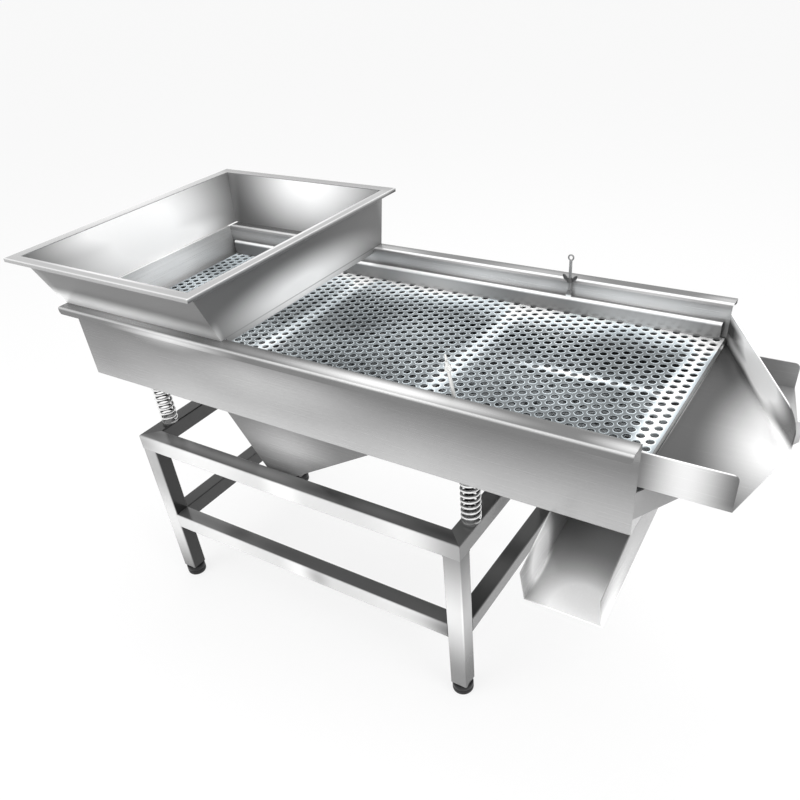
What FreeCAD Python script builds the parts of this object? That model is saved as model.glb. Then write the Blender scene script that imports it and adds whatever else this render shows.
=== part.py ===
"""Two-deck linear vibrating sieve on a square tube frame.

X runs from the feed hopper to the discharge chutes, Y from the operator's side to the back, Z is up.
The origin is on the floor, under the middle of the machine's bounding box.
Lengths are in millimetres and angles in degrees. Every place is measured from the frame's datum corner,
which is the outer bottom corner of its front left leg.
"""
import FreeCAD, Part
import math
import os
import re

import Sketcher

Vector = FreeCAD.Vector
doc = FreeCAD.newDocument("vibrating_sieve")
sheet = doc.addObject("Spreadsheet::Sheet", "sizes")

SIZES = [
    # Place of the datum corner
    ("datum_x", -783, "datum corner from the origin, along X"),
    ("datum_y", -294, "datum corner from the origin, along Y"),
    ("foot_height", 38, "leg bottom above the floor"),
    # Frame of square tube
    ("frame_length", 1100, "outside length of the frame"),
    ("frame_width", 627, "outside width of the frame, and of the trough"),
    ("frame_height", 526, "leg bottom to the top of the ring"),
    ("tube", 50, "outside of the square tube"),
    ("tube_wall", 2, "wall of the square tube"),
    ("tube_corner", 4, "outside corner radius of the square tube"),
    ("stretcher_top", 234, "top of the lower stretchers above the leg bottom"),
    ("pad_radius", 30, "rubber foot"),
    ("pad_height", 34, "rubber foot"),
    ("pad_sole_radius", 24, "flat sole of the rubber foot"),
    ("pad_curve", 7, "height of the rubber foot's bevelled edge"),
    ("pad_groove", 2, "depth and height of the groove around the rubber foot"),
    ("foot_bolt_radius", 6, "bolt between rubber foot and leg"),
    ("foot_bolt_length", 26, "bolt between rubber foot and leg"),
    ("leg_plate", 4, "plate that closes a leg's bottom"),
    # Coil springs and their seats
    ("spring_inset", 105, "spring axis from the frame's front or back face"),
    ("spring_outer_radius", 26, "coil spring"),
    ("spring_wire", 8, "coil spring wire diameter"),
    ("spring_turns", 7.5, "turns of the coil, dead ends included"),
    ("spring_dead_turns", 0.75, "turns that lie closed at each end of the coil"),
    ("seat_thickness", 5, "spring seat disc"),
    ("seat_radius", 25, "spring seat disc"),
    ("seat_boss_radius", 16, "boss inside the coil"),
    ("seat_boss_height", 12, "boss inside the coil"),
    ("spring_length", 120, "coil spring between its seats"),
    ("beam_height", 60, "cross beam under the trough"),
    ("beam_inset", 80, "cross beam's end from the trough's side"),
    # Trough
    ("feed_overhang", 86, "feed end of the trough beyond the frame"),
    ("discharge_overhang", 393, "discharge end of the trough beyond the frame"),
    ("trough_height", 221, "underside of the trough to the top of its rims"),
    ("sheet_metal", 2.5, "thickness of the trough and chute sheet"),
    ("trough_bend", 4, "outside bend radius of the trough"),
    ("rim_width", 46, "flat rim folded outwards"),
    ("rim_lip", 19, "edge of the rim folded down"),
    ("rim_bend", 7, "outside bend radius between a wall and its rim"),
    ("rim_end_corner", 9, "rounding of the folded edge's ends"),
    ("end_flange", 10, "flange on top of the end plate"),
    # Decks
    ("lower_deck_rise", 59, "lower deck's screening surface above the trough's underside"),
    ("deck_spacing", 81, "upper deck's screening surface above the lower deck's"),
    ("deck_thickness", 2, "perforated sheet"),
    ("deck_feed_gap", 24, "feed end of the decks from the end of the trough"),
    ("deck_discharge_gap", 3, "discharge end of the decks from the end of the trough"),
    ("deck_gap", 3.5, "gap between a deck and the trough's wall face"),
    ("opening_columns", 12, "openings along a deck"),
    ("opening_rows", 6, "openings across a deck"),
    ("opening_radius", 36, "opening in a deck"),
    ("deck_bar_height", 20, "flat bars under a deck"),
    ("deck_bar_width", 6, "flat bars under a deck"),
    ("cross_bar_first", 470, "second cross bar's axis"),
    ("cross_bar_second", 970, "third cross bar's axis"),
    ("ledge_width", 28, "angle that carries a deck"),
    ("ledge_height", 22, "angle that carries a deck"),
    ("ledge_thickness", 3, "angle that carries a deck"),
    # Hold-down bars and their eye bolts
    ("bar_feed_gap", 26, "hold-down bars' end from the feed end of the trough"),
    ("bar_discharge_gap", 13, "hold-down bars' end from the discharge end of the trough"),
    ("bar_height", 42, "upright leg of a hold-down bar"),
    ("bar_depth", 17, "flat leg of a hold-down bar"),
    ("bar_thickness", 2, "hold-down bar"),
    ("bar_bend", 5, "outside bend radius of a hold-down bar"),
    ("bolt_from_outlet", 399, "eye bolts from the discharge end of the trough"),
    ("pivot_height", 9, "eye bolt's pivot above its bar"),
    ("lug_thickness", 3.5, "each ear of the pivot lug"),
    ("lug_half_width", 7, "half the width of an ear"),
    ("hinge_eye_width", 5, "eye bolt's lower eye, along its pin"),
    ("ear_clearance", 0.2, "gap between the lower eye and an ear"),
    ("hinge_eye_radius", 6, "eye bolt's lower eye"),
    ("pin_radius", 2.5, "pivot pin"),
    ("pin_proud", 0.5, "pivot pin beyond each ear"),
    ("running_clearance", 0.05, "radial clearance of a pin or a shaft"),
    ("eye_bolt_radius", 4, "shank of an eye bolt"),
    ("back_bolt_reach", 92, "back eye bolt's pivot to the middle of its top eye"),
    ("eye_radius", 6.5, "middle circle of the top eye"),
    ("eye_wire", 2, "radius of the top eye's section"),
    ("front_bolt_reach", 106.5, "front eye bolt's pivot to the middle of its top eye"),
    ("front_bolt_ahead", 9, "front eye bolt from the back one, towards the outlet"),
    ("front_lean", 10, "lean of the front eye bolt towards the hopper"),
    ("front_turn", -59, "turn of the front bolt's top eye and wing nut about the bolt's axis"),
    ("tongue_half", 4, "half the width of the flat tongue above the lower eye"),
    ("tongue_length", 9.5, "pivot to the foot of the round shank"),
    ("back_nut_place", 30.5, "back wing nut's base above its pivot"),
    ("front_nut_place", 82, "front wing nut's base above its pivot"),
    ("thread_clearance", 0.1, "radial clearance in the wing nut and washer"),
    ("washer_radius", 7.6, "washer under a wing nut"),
    ("washer_thickness", 1.6, "washer under a wing nut"),
    ("nut_hub_radius", 8, "wing nut"),
    ("nut_hub_height", 9, "wing nut"),
    ("wing_span", 40, "tip to tip of the wings"),
    ("wing_height", 17, "top of the wings above the nut's base"),
    ("wing_thickness", 3, "wing nut"),
    # Hopper
    ("hopper_feed_overhang", 11, "hopper's lower opening beyond the feed end of the trough"),
    ("hopper_base_length", 577, "hopper's lower opening, outside"),
    ("hopper_base_overhang", 14, "hopper's lower opening beyond the trough's front face"),
    ("hopper_back_overhang", 42, "hopper's lower opening beyond the trough's back face"),
    ("hopper_flare_left", 26, "how far the feed end wall leans out"),
    ("hopper_lean_right", 2, "how far the discharge side wall leans in"),
    ("hopper_flare_front", 58, "how far the front wall leans out"),
    ("hopper_flare_back", 31, "how far the back wall leans out"),
    ("hopper_rise", 143, "hopper's height above the trough's rims"),
    ("hopper_sheet", 2, "thickness of the hopper sheet"),
    ("hopper_rim_width", 28, "flat rim around the hopper's mouth"),
    ("hopper_rim_lip", 9, "edge of the hopper's rim, folded down"),
    ("skirt_height", 13, "strip below the hopper's discharge side wall"),
    # Chutes
    ("floor_drop", 14, "deck's screening surface above the floor of its chute"),
    ("upper_chute_wall", 76, "wall above the floor of the oversize chute"),
    ("middle_chute_wall", 63, "wall above the floor of the middle chute"),
    ("straight_wall_length", 172, "chute wall in line with the trough's side"),
    ("outlet_offset_x", 224, "far corner of a chute's outlet from the trough"),
    ("outlet_offset_y", 223, "far corner of a chute's outlet from the straight wall"),
    ("chute_corner", 12, "rounding of the straight wall's end"),
    ("chute_far_corner", 34, "rounding of the slanting wall's end"),
    ("fines_width", 171, "outside width of the fines chute"),
    ("fines_hole_margin", 7.5, "edge of the hole in the trough's bottom from the front wall"),
    ("fines_back_gap", 129, "where the fines chute's floor meets the trough, from the trough's back"),
    ("fines_lip", 12, "edge of the hole before the fines chute's floor meets the trough"),
    ("fines_front_reach", 117, "lower front edge of the fines chute beyond the trough's front"),
    ("fines_drop", 150, "lower front edge of the fines chute below the trough"),
    ("fines_mouth_reach", 140, "upper front corner of the fines chute's walls beyond the trough's front"),
    ("fines_mouth_drop", 55, "upper front corner of the fines chute's walls below the trough"),
    # Motor bracket and vibration motors
    ("throw_angle", 33.9, "direction of the throw above the horizontal"),
    ("bracket_left", 305, "left top corner of the gussets"),
    ("bracket_depth", 251, "depth of the gussets"),
    ("bracket_rear_angle", 30, "slope of the gussets' long edge"),
    ("gusset_inset", 65, "gusset's outer face from the trough's side"),
    ("gusset_thickness", 6, "gusset plate"),
    ("motor_plate", 10, "inclined plate that carries the motors"),
    ("plate_foot_gap", 25, "motor plate's lower end above the gussets' point"),
    ("upper_motor_place", 100, "upper motor's axis along the plate"),
    ("motor_pitch", 104, "distance between the motors' axes"),
    ("motor_axis_height", 52, "motor axis above its base"),
    ("motor_radius", 43, "motor body"),
    ("motor_bore", 36, "inside of the motor body"),
    ("motor_body", 190, "length of the motor body"),
    ("shield", 12, "end shield with its bearing seat"),
    ("core_radius", 32, "rotor core"),
    ("core_length", 110, "rotor core"),
    ("shaft_radius", 9, "rotor shaft"),
    ("shaft_length", 276, "rotor shaft"),
    ("weight_radius", 33, "eccentric weight"),
    ("weight_thickness", 18, "eccentric weight"),
    ("weight_gap", 6, "gap between end shield and weight"),
    ("cover_length", 48, "end cover over the weights"),
    ("cover_wall", 2.5, "end cover over the weights"),
    ("cover_step", 2, "end cover's radius below the motor body's"),
    ("fin_count", 5, "cooling ribs on each side of a motor"),
    ("fin_spread", 52, "angle between the first and the last rib of a side"),
    ("fin_height", 4, "cooling rib"),
    ("fin_thickness", 3, "cooling rib"),
    ("fin_length", 150, "cooling rib"),
    ("motor_foot_half", 50, "half the span of the motor's feet across the axis"),
    ("motor_foot_length", 34, "each foot along the axis"),
    ("motor_foot_thickness", 11, "motor foot"),
    ("motor_web_half", 32, "half the width of the block between a foot and the motor body"),
    ("motor_bolt_half_x", 41.5, "half the bolt spacing across the axis"),
    ("motor_bolt_half_y", 62, "half the bolt spacing along the axis"),
    ("motor_bolt_radius", 4, "motor fixing bolt"),
    ("motor_bolt_head_radius", 6.5, "head and nut of the motor fixing bolt"),
    ("motor_bolt_head", 6, "head and nut of the motor fixing bolt"),
    ("bolt_hole_clearance", 0.5, "radial clearance of a bolt hole"),
    ("terminal_shift", 12, "terminal box off the middle of the motor"),
    ("terminal_length", 60, "terminal box along the motor"),
    ("terminal_width", 40, "terminal box across the motor"),
    ("terminal_height", 18, "terminal box"),
    ("terminal_seat", 46, "terminal box's base above the motor axis"),
    ("gland_radius", 7, "cable gland of a terminal box"),
    ("gland_length", 14, "cable gland of a terminal box"),
]

DERIVED = [
    ("trough_left", "-feed_overhang", "feed end of the trough"),
    ("trough_right", "frame_length + discharge_overhang", "discharge end of the trough"),
    ("trough_bottom", "frame_height + 2 * seat_thickness + spring_length + beam_height", "trough's underside"),
    ("trough_top", "trough_bottom + trough_height", "top of the trough's rims"),
    ("lower_deck_top", "trough_bottom + lower_deck_rise", "screening surface of the lower deck"),
    ("upper_deck_top", "lower_deck_top + deck_spacing", "screening surface of the upper deck"),
    ("deck_left", "trough_left + deck_feed_gap", "feed end of the decks"),
    ("deck_right", "trough_right - deck_discharge_gap", "discharge end of the decks"),
    ("bar_left", "trough_left + bar_feed_gap", "left end of the hold-down bars"),
    ("bar_right", "trough_right - bar_discharge_gap", "right end of the hold-down bars"),
    ("bolt_place", "trough_right - bolt_from_outlet", "eye bolts along the trough"),
    ("pivot_level", "upper_deck_top + bar_height + pivot_height", "height of the eye bolts' pivots"),
    ("hopper_base_left", "trough_left - hopper_feed_overhang", "hopper's lower opening"),
    ("hopper_base_right", "hopper_base_left + hopper_base_length", "hopper's lower opening"),
    ("hopper_base_back", "frame_width + hopper_back_overhang", "hopper's lower opening"),
    ("hopper_top_left", "hopper_base_left - hopper_flare_left", "hopper's mouth"),
    ("hopper_top_right", "hopper_base_right - hopper_lean_right", "hopper's mouth"),
    ("hopper_top_overhang", "hopper_base_overhang + hopper_flare_front", "hopper's mouth"),
    ("hopper_top_back", "hopper_base_back + hopper_flare_back", "hopper's mouth"),
    ("upper_floor_top", "upper_deck_top - floor_drop", "floor of the oversize chute"),
    ("middle_floor_top", "lower_deck_top - floor_drop", "floor of the middle chute"),
    ("fines_left", "trough_right - fines_width", "left wall of the fines chute"),
    ("fines_reach", "frame_width - fines_back_gap", "where the fines chute's floor meets the trough"),
    ("fines_floor", "trough_bottom - fines_drop", "lower front edge of the fines chute"),
    ("fines_mouth_top", "trough_bottom - fines_mouth_drop", "upper front corner of the fines chute's walls"),
]

FULL_TURN = 360.0
COIL_STEPS = 16
WIRE_SIDES = 6
ALIASES = {alias for alias, _, _ in SIZES + DERIVED}
PIECES = []
MOTORS = [("upper", "upper_motor_place"), ("lower", "upper_motor_place + motor_pitch")]


def fill_sheet():
    """One row for each size: its name, its value and what it measures."""
    for row, (alias, value, meaning) in enumerate(SIZES, start=1):
        sheet.set(f"A{row}", alias)
        sheet.set(f"B{row}", str(value))
        sheet.set(f"C{row}", meaning)
        sheet.setAlias(f"B{row}", alias)
    for row, (alias, formula, meaning) in enumerate(DERIVED, start=len(SIZES) + 1):
        sheet.set(f"A{row}", alias)
        sheet.set(f"B{row}", "=" + formula)
        sheet.set(f"C{row}", meaning)
        sheet.setAlias(f"B{row}", alias)
    doc.recompute()


def size(alias):
    """The value of a driving size."""
    return float(sheet.get(alias))


def bound(text):
    """An expression in which every size name points at its cell in the sheet."""
    return re.sub(r"[a-z_]+", lambda word: f"sizes.{word.group()}" if word.group() in ALIASES else word.group(), str(text))


def move(item, x, y, z):
    """Places an item at x, y, z, measured from the datum corner."""
    item.setExpression(".Placement.Base.x", bound(f"datum_x + ({x})"))
    item.setExpression(".Placement.Base.y", bound(f"datum_y + ({y})"))
    item.setExpression(".Placement.Base.z", bound(f"foot_height + ({z})"))


def keep(item, label):
    """Names an item as a finished sub-part."""
    item.Label = label
    PIECES.append(item)
    return item


def block(name, x, y, z, length, width, height):
    """A box with its lowest corner at x, y, z."""
    item = doc.addObject("Part::Box", name)
    item.setExpression("Length", bound(length))
    item.setExpression("Width", bound(width))
    item.setExpression("Height", bound(height))
    move(item, x, y, z)
    return item


def upright(name, x, y, z, radius, height):
    """A vertical cylinder standing on x, y, z."""
    item = doc.addObject("Part::Cylinder", name)
    item.setExpression("Radius", bound(radius))
    item.setExpression("Height", bound(height))
    move(item, x, y, z)
    return item


def fuse(name, shapes):
    """One solid from several."""
    item = doc.addObject("Part::MultiFuse", name)
    item.Shapes = shapes
    item.Refine = True
    return item


def cut(name, base, tool):
    """The base without the tool."""
    item = doc.addObject("Part::Cut", name)
    item.Base = base
    item.Tool = tool
    return item


def group(name, shapes):
    """Several equal solids kept as one sub-part."""
    item = doc.addObject("Part::Compound", name)
    item.Links = shapes
    return item


def body(name):
    """An empty body whose own origin is the datum corner."""
    item = doc.addObject("PartDesign::Body", name)
    move(item, 0, 0, 0)
    return item


def sketch_on(owner, plane, name, offset=None):
    """A sketch on one of the body's own origin planes, moved along its normal by offset."""
    sketch = owner.newObject("Sketcher::SketchObject", name)
    support = [item for item in owner.Origin.OriginFeatures if item.Role == plane][0]
    sketch.AttachmentSupport = [(support, "")]
    sketch.MapMode = "FlatFace"
    if offset is not None:
        sketch.setExpression(".AttachmentOffset.Base.z", bound(offset))
    return sketch


def upright_sketch(owner, name, y):
    """A sketch seen from the front, on the plane at y."""
    return sketch_on(owner, "XZ_Plane", name, f"-({y})")


def fix_point(sketch, line, corner, x, y):
    """Ties one end of a line to its place in the sketch."""
    across = sketch.addConstraint(Sketcher.Constraint("DistanceX", -1, 1, line, corner, 1.0))
    sketch.setExpression(f"Constraints[{across}]", bound(x))
    up = sketch.addConstraint(Sketcher.Constraint("DistanceY", -1, 1, line, corner, 1.0))
    sketch.setExpression(f"Constraints[{up}]", bound(y))


def outline(sketch, points):
    """A closed outline of straight lines through the given points."""
    count = len(points)
    first = sketch.GeometryCount
    turn = 2 * math.pi / count
    ring = [Vector(math.cos(turn * step), math.sin(turn * step), 0) for step in range(count)]
    for step in range(count):
        sketch.addGeometry(Part.LineSegment(ring[step], ring[(step + 1) % count]), False)
    for step in range(count):
        follower = first + (step + 1) % count
        sketch.addConstraint(Sketcher.Constraint("Coincident", first + step, 2, follower, 1))
    for step, (x, y) in enumerate(points):
        fix_point(sketch, first + step, 1, x, y)


def circle(sketch, x, y, radius):
    """A circle with its middle at x, y."""
    item = sketch.addGeometry(Part.Circle(Vector(0, 0, 0), Vector(0, 0, 1), 1.0), False)
    fix_point(sketch, item, 3, x, y)
    ring = sketch.addConstraint(Sketcher.Constraint("Radius", item, 1.0))
    sketch.setExpression(f"Constraints[{ring}]", bound(radius))


def pad(owner, sketch, length, name, backwards=False):
    """Material from a sketch, along its normal, or against it."""
    item = owner.newObject("PartDesign::Pad", name)
    item.Profile = sketch
    item.setExpression("Length", bound(length))
    item.Reversed = backwards
    return item


def pocket(owner, sketch, name):
    """A cut through the whole body, to both sides of the sketch."""
    item = owner.newObject("PartDesign::Pocket", name)
    item.Profile = sketch
    item.Type = "ThroughAll"
    item.Midplane = True
    return item


def turn_sketch(sketch, axis, angle):
    """Turns a sketch about one of its own axes."""
    sketch.AttachmentOffset = FreeCAD.Placement(Vector(0, 0, 0), FreeCAD.Rotation(axis, 1))
    sketch.setExpression(".AttachmentOffset.Rotation.Angle", bound(angle))


def round_edges(owner, base, chosen, radius, name):
    """Rounds the edges of the base that the test picks out."""
    doc.recompute()
    names = [f"Edge{index}" for index, edge in enumerate(base.Shape.Edges, start=1) if chosen(edge)]
    item = owner.newObject("PartDesign::Fillet", name)
    item.Base = (base, names)
    item.setExpression("Radius", bound(radius))
    return item


def runs_along(edge, axis):
    """True for a straight edge along the given axis number."""
    if not isinstance(edge.Curve, Part.Line):
        return False
    return abs(abs(edge.Curve.Direction[axis]) - 1) < 1e-6


def near(edge, axis, value):
    """True for an edge whose middle has the given coordinate along the axis number."""
    return abs(edge.BoundBox.Center[axis] - value) < 0.01


def square_section(sketch, x, y):
    """The tube's section: outer and inner square with their low corner at x, y."""
    outline(sketch, [(x, y), (f"{x} + tube", y), (f"{x} + tube", f"{y} + tube"), (x, f"{y} + tube")])
    near_x = f"{x} + tube_wall"
    near_y = f"{y} + tube_wall"
    far_x = f"{x} + tube - tube_wall"
    far_y = f"{y} + tube - tube_wall"
    outline(sketch, [(near_x, near_y), (far_x, near_y), (far_x, far_y), (near_x, far_y)])


def round_tube(owner, tube, axis, middle):
    """Rounds the four long outer edges of a tube whose axis passes through middle."""
    reach = size("tube") / 2

    def on_corner(edge):
        if not runs_along(edge, axis):
            return False
        others = [number for number in range(3) if number != axis]
        centre = edge.BoundBox.Center
        return all(abs(abs(centre[number] - middle[number]) - reach) < 0.01 for number in others)

    return round_edges(owner, tube, on_corner, "tube_corner", owner.Name + "_corners")


def long_rail(label, face):
    """A rail of the top ring along X, mitred at both ends; face is its outer face along Y."""
    item = body(label)
    section = sketch_on(item, "YZ_Plane", label + "_section")
    inside = "tube" if face == "0" else "-tube"
    low_y = face if face == "0" else f"{face} - tube"
    low_z = "frame_height - tube"
    square_section(section, low_y, low_z)
    bar = pad(item, section, "frame_length", label + "_bar")
    middle_y = size("tube") / 2 if face == "0" else size("frame_width") - size("tube") / 2
    rounded = round_tube(item, bar, 0, (0, middle_y, size("frame_height") - size("tube") / 2))
    mitre = sketch_on(item, "XY_Plane", label + "_mitre")
    outline(mitre, [("0", face), ("tube", f"{face} + {inside}"), ("0", f"{face} + {inside}")])
    far = "frame_length"
    outline(mitre, [(far, face), (f"{far} - tube", f"{face} + {inside}"), (far, f"{face} + {inside}")])
    pocket(item, mitre, label + "_mitres")
    return keep(item, label)


def short_rail(label, face):
    """A rail of the top ring along Y, mitred at both ends; face is its outer face along X."""
    item = body(label)
    section = sketch_on(item, "XZ_Plane", label + "_section")
    inside = "tube" if face == "0" else "-tube"
    low_x = face if face == "0" else f"{face} - tube"
    square_section(section, low_x, "frame_height - tube")
    bar = pad(item, section, "frame_width", label + "_bar", backwards=True)
    middle_x = size("tube") / 2 if face == "0" else size("frame_length") - size("tube") / 2
    round_tube(item, bar, 1, (middle_x, 0, size("frame_height") - size("tube") / 2))
    mitre = sketch_on(item, "XY_Plane", label + "_mitre")
    outline(mitre, [(face, "0"), (f"{face} + {inside}", "tube"), (f"{face} + {inside}", "0")])
    far = "frame_width"
    outline(mitre, [(face, far), (f"{face} + {inside}", f"{far} - tube"), (f"{face} + {inside}", far)])
    pocket(item, mitre, label + "_mitres")
    return keep(item, label)


def leg(label, x, y):
    """A leg below the ring, with its low corner at x, y."""
    item = body(label)
    section = sketch_on(item, "XY_Plane", label + "_section")
    square_section(section, x, y)
    bar = pad(item, section, "frame_height - tube", label + "_bar")
    doc.recompute()
    box = bar.Shape.BoundBox
    round_tube(item, bar, 2, (box.Center.x, box.Center.y, 0))
    return keep(item, label)


def long_stretcher(label, y):
    """The lower tube along X between the front legs."""
    item = body(label)
    section = sketch_on(item, "YZ_Plane", label + "_section", "tube")
    square_section(section, y, "stretcher_top - tube")
    bar = pad(item, section, "frame_length - 2 * tube", label + "_bar")
    doc.recompute()
    round_tube(item, bar, 0, (0, bar.Shape.BoundBox.Center.y, bar.Shape.BoundBox.Center.z))
    return keep(item, label)


def short_stretcher(label, x):
    """A lower tube along Y between two end legs."""
    item = body(label)
    section = sketch_on(item, "XZ_Plane", label + "_section", "-tube")
    square_section(section, x, "stretcher_top - tube")
    bar = pad(item, section, "frame_width - 2 * tube", label + "_bar", backwards=True)
    doc.recompute()
    round_tube(item, bar, 1, (bar.Shape.BoundBox.Center.x, 0, bar.Shape.BoundBox.Center.z))
    return keep(item, label)


def frame():
    """The welded frame: a mitred ring on four legs with three lower stretchers."""
    long_rail("top_rail_front", "0")
    long_rail("top_rail_back", "frame_width")
    short_rail("top_rail_left", "0")
    short_rail("top_rail_right", "frame_length")
    leg("leg_front_left", "0", "0")
    leg("leg_front_right", "frame_length - tube", "0")
    leg("leg_back_left", "0", "frame_width - tube")
    leg("leg_back_right", "frame_length - tube", "frame_width - tube")
    long_stretcher("stretcher_front", "0")
    short_stretcher("stretcher_left", "0")
    short_stretcher("stretcher_right", "frame_length - tube")


def corner_places():
    """Axes of the four legs, named."""
    near_edge = "tube / 2"
    far_x = "frame_length - tube / 2"
    far_y = "frame_width - tube / 2"
    return [
        ("front_left", near_edge, near_edge),
        ("front_right", far_x, near_edge),
        ("back_left", near_edge, far_y),
        ("back_right", far_x, far_y),
    ]


def feet():
    """Rubber feet, their bolts, and the plates that close the legs."""
    plates = []
    bolts = []
    for place, x, y in corner_places():
        item = body("foot_" + place)
        profile = sketch_on(item, "XZ_Plane", "foot_profile_" + place)
        groove = "pad_height / 2 - foot_height"
        outline(profile, [
            ("0", "-foot_height"),
            ("pad_sole_radius", "-foot_height"),
            ("pad_radius - pad_groove", "pad_curve / 2 - foot_height"),
            ("pad_radius", "pad_curve - foot_height"),
            ("pad_radius", groove),
            ("pad_radius - pad_groove", f"{groove} + pad_groove / 2"),
            ("pad_radius", f"{groove} + pad_groove"),
            ("pad_radius", "pad_height - pad_groove - foot_height"),
            ("pad_radius - pad_groove", "pad_height - foot_height"),
            ("0", "pad_height - foot_height"),
        ])
        turned = item.newObject("PartDesign::Revolution", "foot_turned_" + place)
        turned.Profile = profile
        turned.ReferenceAxis = (profile, ["V_Axis"])
        turned.Angle = FULL_TURN
        move(item, x, y, "0")
        keep(item, "foot_" + place)
        inner = "tube - 2 * tube_wall"
        blank = block("plate_blank_" + place, f"{x} - ({inner}) / 2", f"{y} - ({inner}) / 2", "0",
                      inner, inner, "leg_plate")
        hole = upright("plate_hole_" + place, x, y, "0 - leg_plate",
                       "foot_bolt_radius + bolt_hole_clearance", "leg_plate * 3")
        plates.append(cut("plate_" + place, blank, hole))
        shank = upright("bolt_shank_" + place, x, y, "pad_height - foot_height",
                        "foot_bolt_radius", "foot_bolt_length")
        collar = upright("bolt_collar_" + place, x, y, "pad_height - foot_height",
                         "foot_bolt_radius * 1.8", "foot_height - pad_height")
        nut = upright("bolt_nut_" + place, x, y, "leg_plate", "foot_bolt_radius * 1.7", "foot_bolt_radius * 1.6")
        bolts.append(fuse("foot_bolt_" + place, [shank, collar, nut]))
    keep(group("leg_plates_group", plates), "leg_end_plates")
    keep(group("foot_bolts_group", bolts), "foot_bolts")


def climb(turn, turns, dead, wire, height):
    """Height of the wire's middle after some turns: closed ends and an open middle."""
    closed = dead * wire
    open_rise = height - wire - 2 * closed
    if turn < dead:
        return wire / 2 + turn * wire
    if turn > turns - dead:
        return height - wire / 2 - (turns - turn) * wire
    return wire / 2 + closed + open_rise * (turn - dead) / (turns - 2 * dead)


def coil(height):
    """A coil of round wire around Z with closed ends, standing on z = 0, made of flat facets."""
    wire = size("spring_wire")
    turns = size("spring_turns")
    dead = size("spring_dead_turns")
    path_radius = size("spring_outer_radius") - wire / 2
    rings = []
    for step in range(int(turns * COIL_STEPS) + 1):
        angle = 2 * math.pi * step / COIL_STEPS
        rise = climb(step / COIL_STEPS, turns, dead, wire, height)
        outward = Vector(math.cos(angle), math.sin(angle), 0)
        ring = []
        for side in range(WIRE_SIDES):
            around = 2 * math.pi * side / WIRE_SIDES
            reach = path_radius + wire / 2 * math.cos(around)
            ring.append(outward * reach + Vector(0, 0, rise + wire / 2 * math.sin(around)))
        rings.append(ring)
    faces = []
    for lower, upper in zip(rings, rings[1:]):
        for side in range(WIRE_SIDES):
            other = (side + 1) % WIRE_SIDES
            faces.append(triangle(lower[side], lower[other], upper[other]))
            faces.append(triangle(lower[side], upper[other], upper[side]))
    for end in (rings[0], rings[-1]):
        faces.append(Part.Face(Part.makePolygon(end + end[:1])))
    solid = Part.makeSolid(Part.makeShell(faces))
    if solid.Volume < 0:
        solid.reverse()
    return solid


def triangle(first, second, third):
    """A flat face through three points."""
    return Part.Face(Part.makePolygon([first, second, third, first]))


def spring_places():
    """Axes of the four springs, named."""
    near_x = "tube / 2"
    far_x = "frame_length - tube / 2"
    far_y = "frame_width - spring_inset"
    return [
        ("front_left", near_x, "spring_inset"),
        ("front_right", far_x, "spring_inset"),
        ("back_left", near_x, far_y),
        ("back_right", far_x, far_y),
    ]


def springs():
    """Four coil springs between turned seats on the frame and under the cross beams."""
    lower_seats = []
    upper_seats = []
    beam_bottom = "trough_bottom - beam_height"
    for place, x, y in spring_places():
        item = doc.addObject("Part::Feature", "coil_" + place)
        item.Shape = coil(size("spring_length"))
        move(item, x, y, "frame_height + seat_thickness")
        keep(item, "spring_" + place)
        disc = upright("lower_disc_" + place, x, y, "frame_height", "seat_radius", "seat_thickness")
        boss = upright("lower_boss_" + place, x, y, "frame_height", "seat_boss_radius",
                       "seat_thickness + seat_boss_height")
        lower_seats.append(fuse("lower_seat_" + place, [disc, boss]))
        disc = upright("upper_disc_" + place, x, y, f"{beam_bottom} - seat_thickness", "seat_radius",
                       "seat_thickness")
        boss = upright("upper_boss_" + place, x, y, f"{beam_bottom} - seat_thickness - seat_boss_height",
                       "seat_boss_radius", "seat_thickness + seat_boss_height")
        upper_seats.append(fuse("upper_seat_" + place, [disc, boss]))
    keep(group("lower_seats_group", lower_seats), "lower_spring_seats")
    keep(group("upper_seats_group", upper_seats), "upper_spring_seats")


def cross_beam(label, x):
    """A box beam across the underside of the trough that rests on two springs."""
    length = "frame_width - 2 * beam_inset"
    outer = block(label + "_outer", x, "beam_inset", "trough_bottom - beam_height", "tube", length, "beam_height")
    inner = block(label + "_inner", f"{x} + tube_wall", "beam_inset - tube",
                  "trough_bottom - beam_height + tube_wall", "tube - 2 * tube_wall",
                  f"{length} + 2 * tube", "beam_height - 2 * tube_wall")
    return keep(cut(label + "_tube", outer, inner), label)


def trough_section(sketch):
    """Half-open U section with rims folded outwards and their edges folded down."""
    thick = "sheet_metal"
    back = "frame_width"
    outline(sketch, [
        ("-rim_width", "trough_top - rim_lip"),
        ("-rim_width", "trough_top"),
        (thick, "trough_top"),
        (thick, f"trough_bottom + {thick}"),
        (f"{back} - {thick}", f"trough_bottom + {thick}"),
        (f"{back} - {thick}", "trough_top"),
        (f"{back} + rim_width", "trough_top"),
        (f"{back} + rim_width", "trough_top - rim_lip"),
        (f"{back} + rim_width - {thick}", "trough_top - rim_lip"),
        (f"{back} + rim_width - {thick}", f"trough_top - {thick}"),
        (back, f"trough_top - {thick}"),
        (back, "trough_bottom"),
        ("0", "trough_bottom"),
        ("0", f"trough_top - {thick}"),
        (f"-rim_width + {thick}", f"trough_top - {thick}"),
        (f"-rim_width + {thick}", "trough_top - rim_lip"),
    ])


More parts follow.
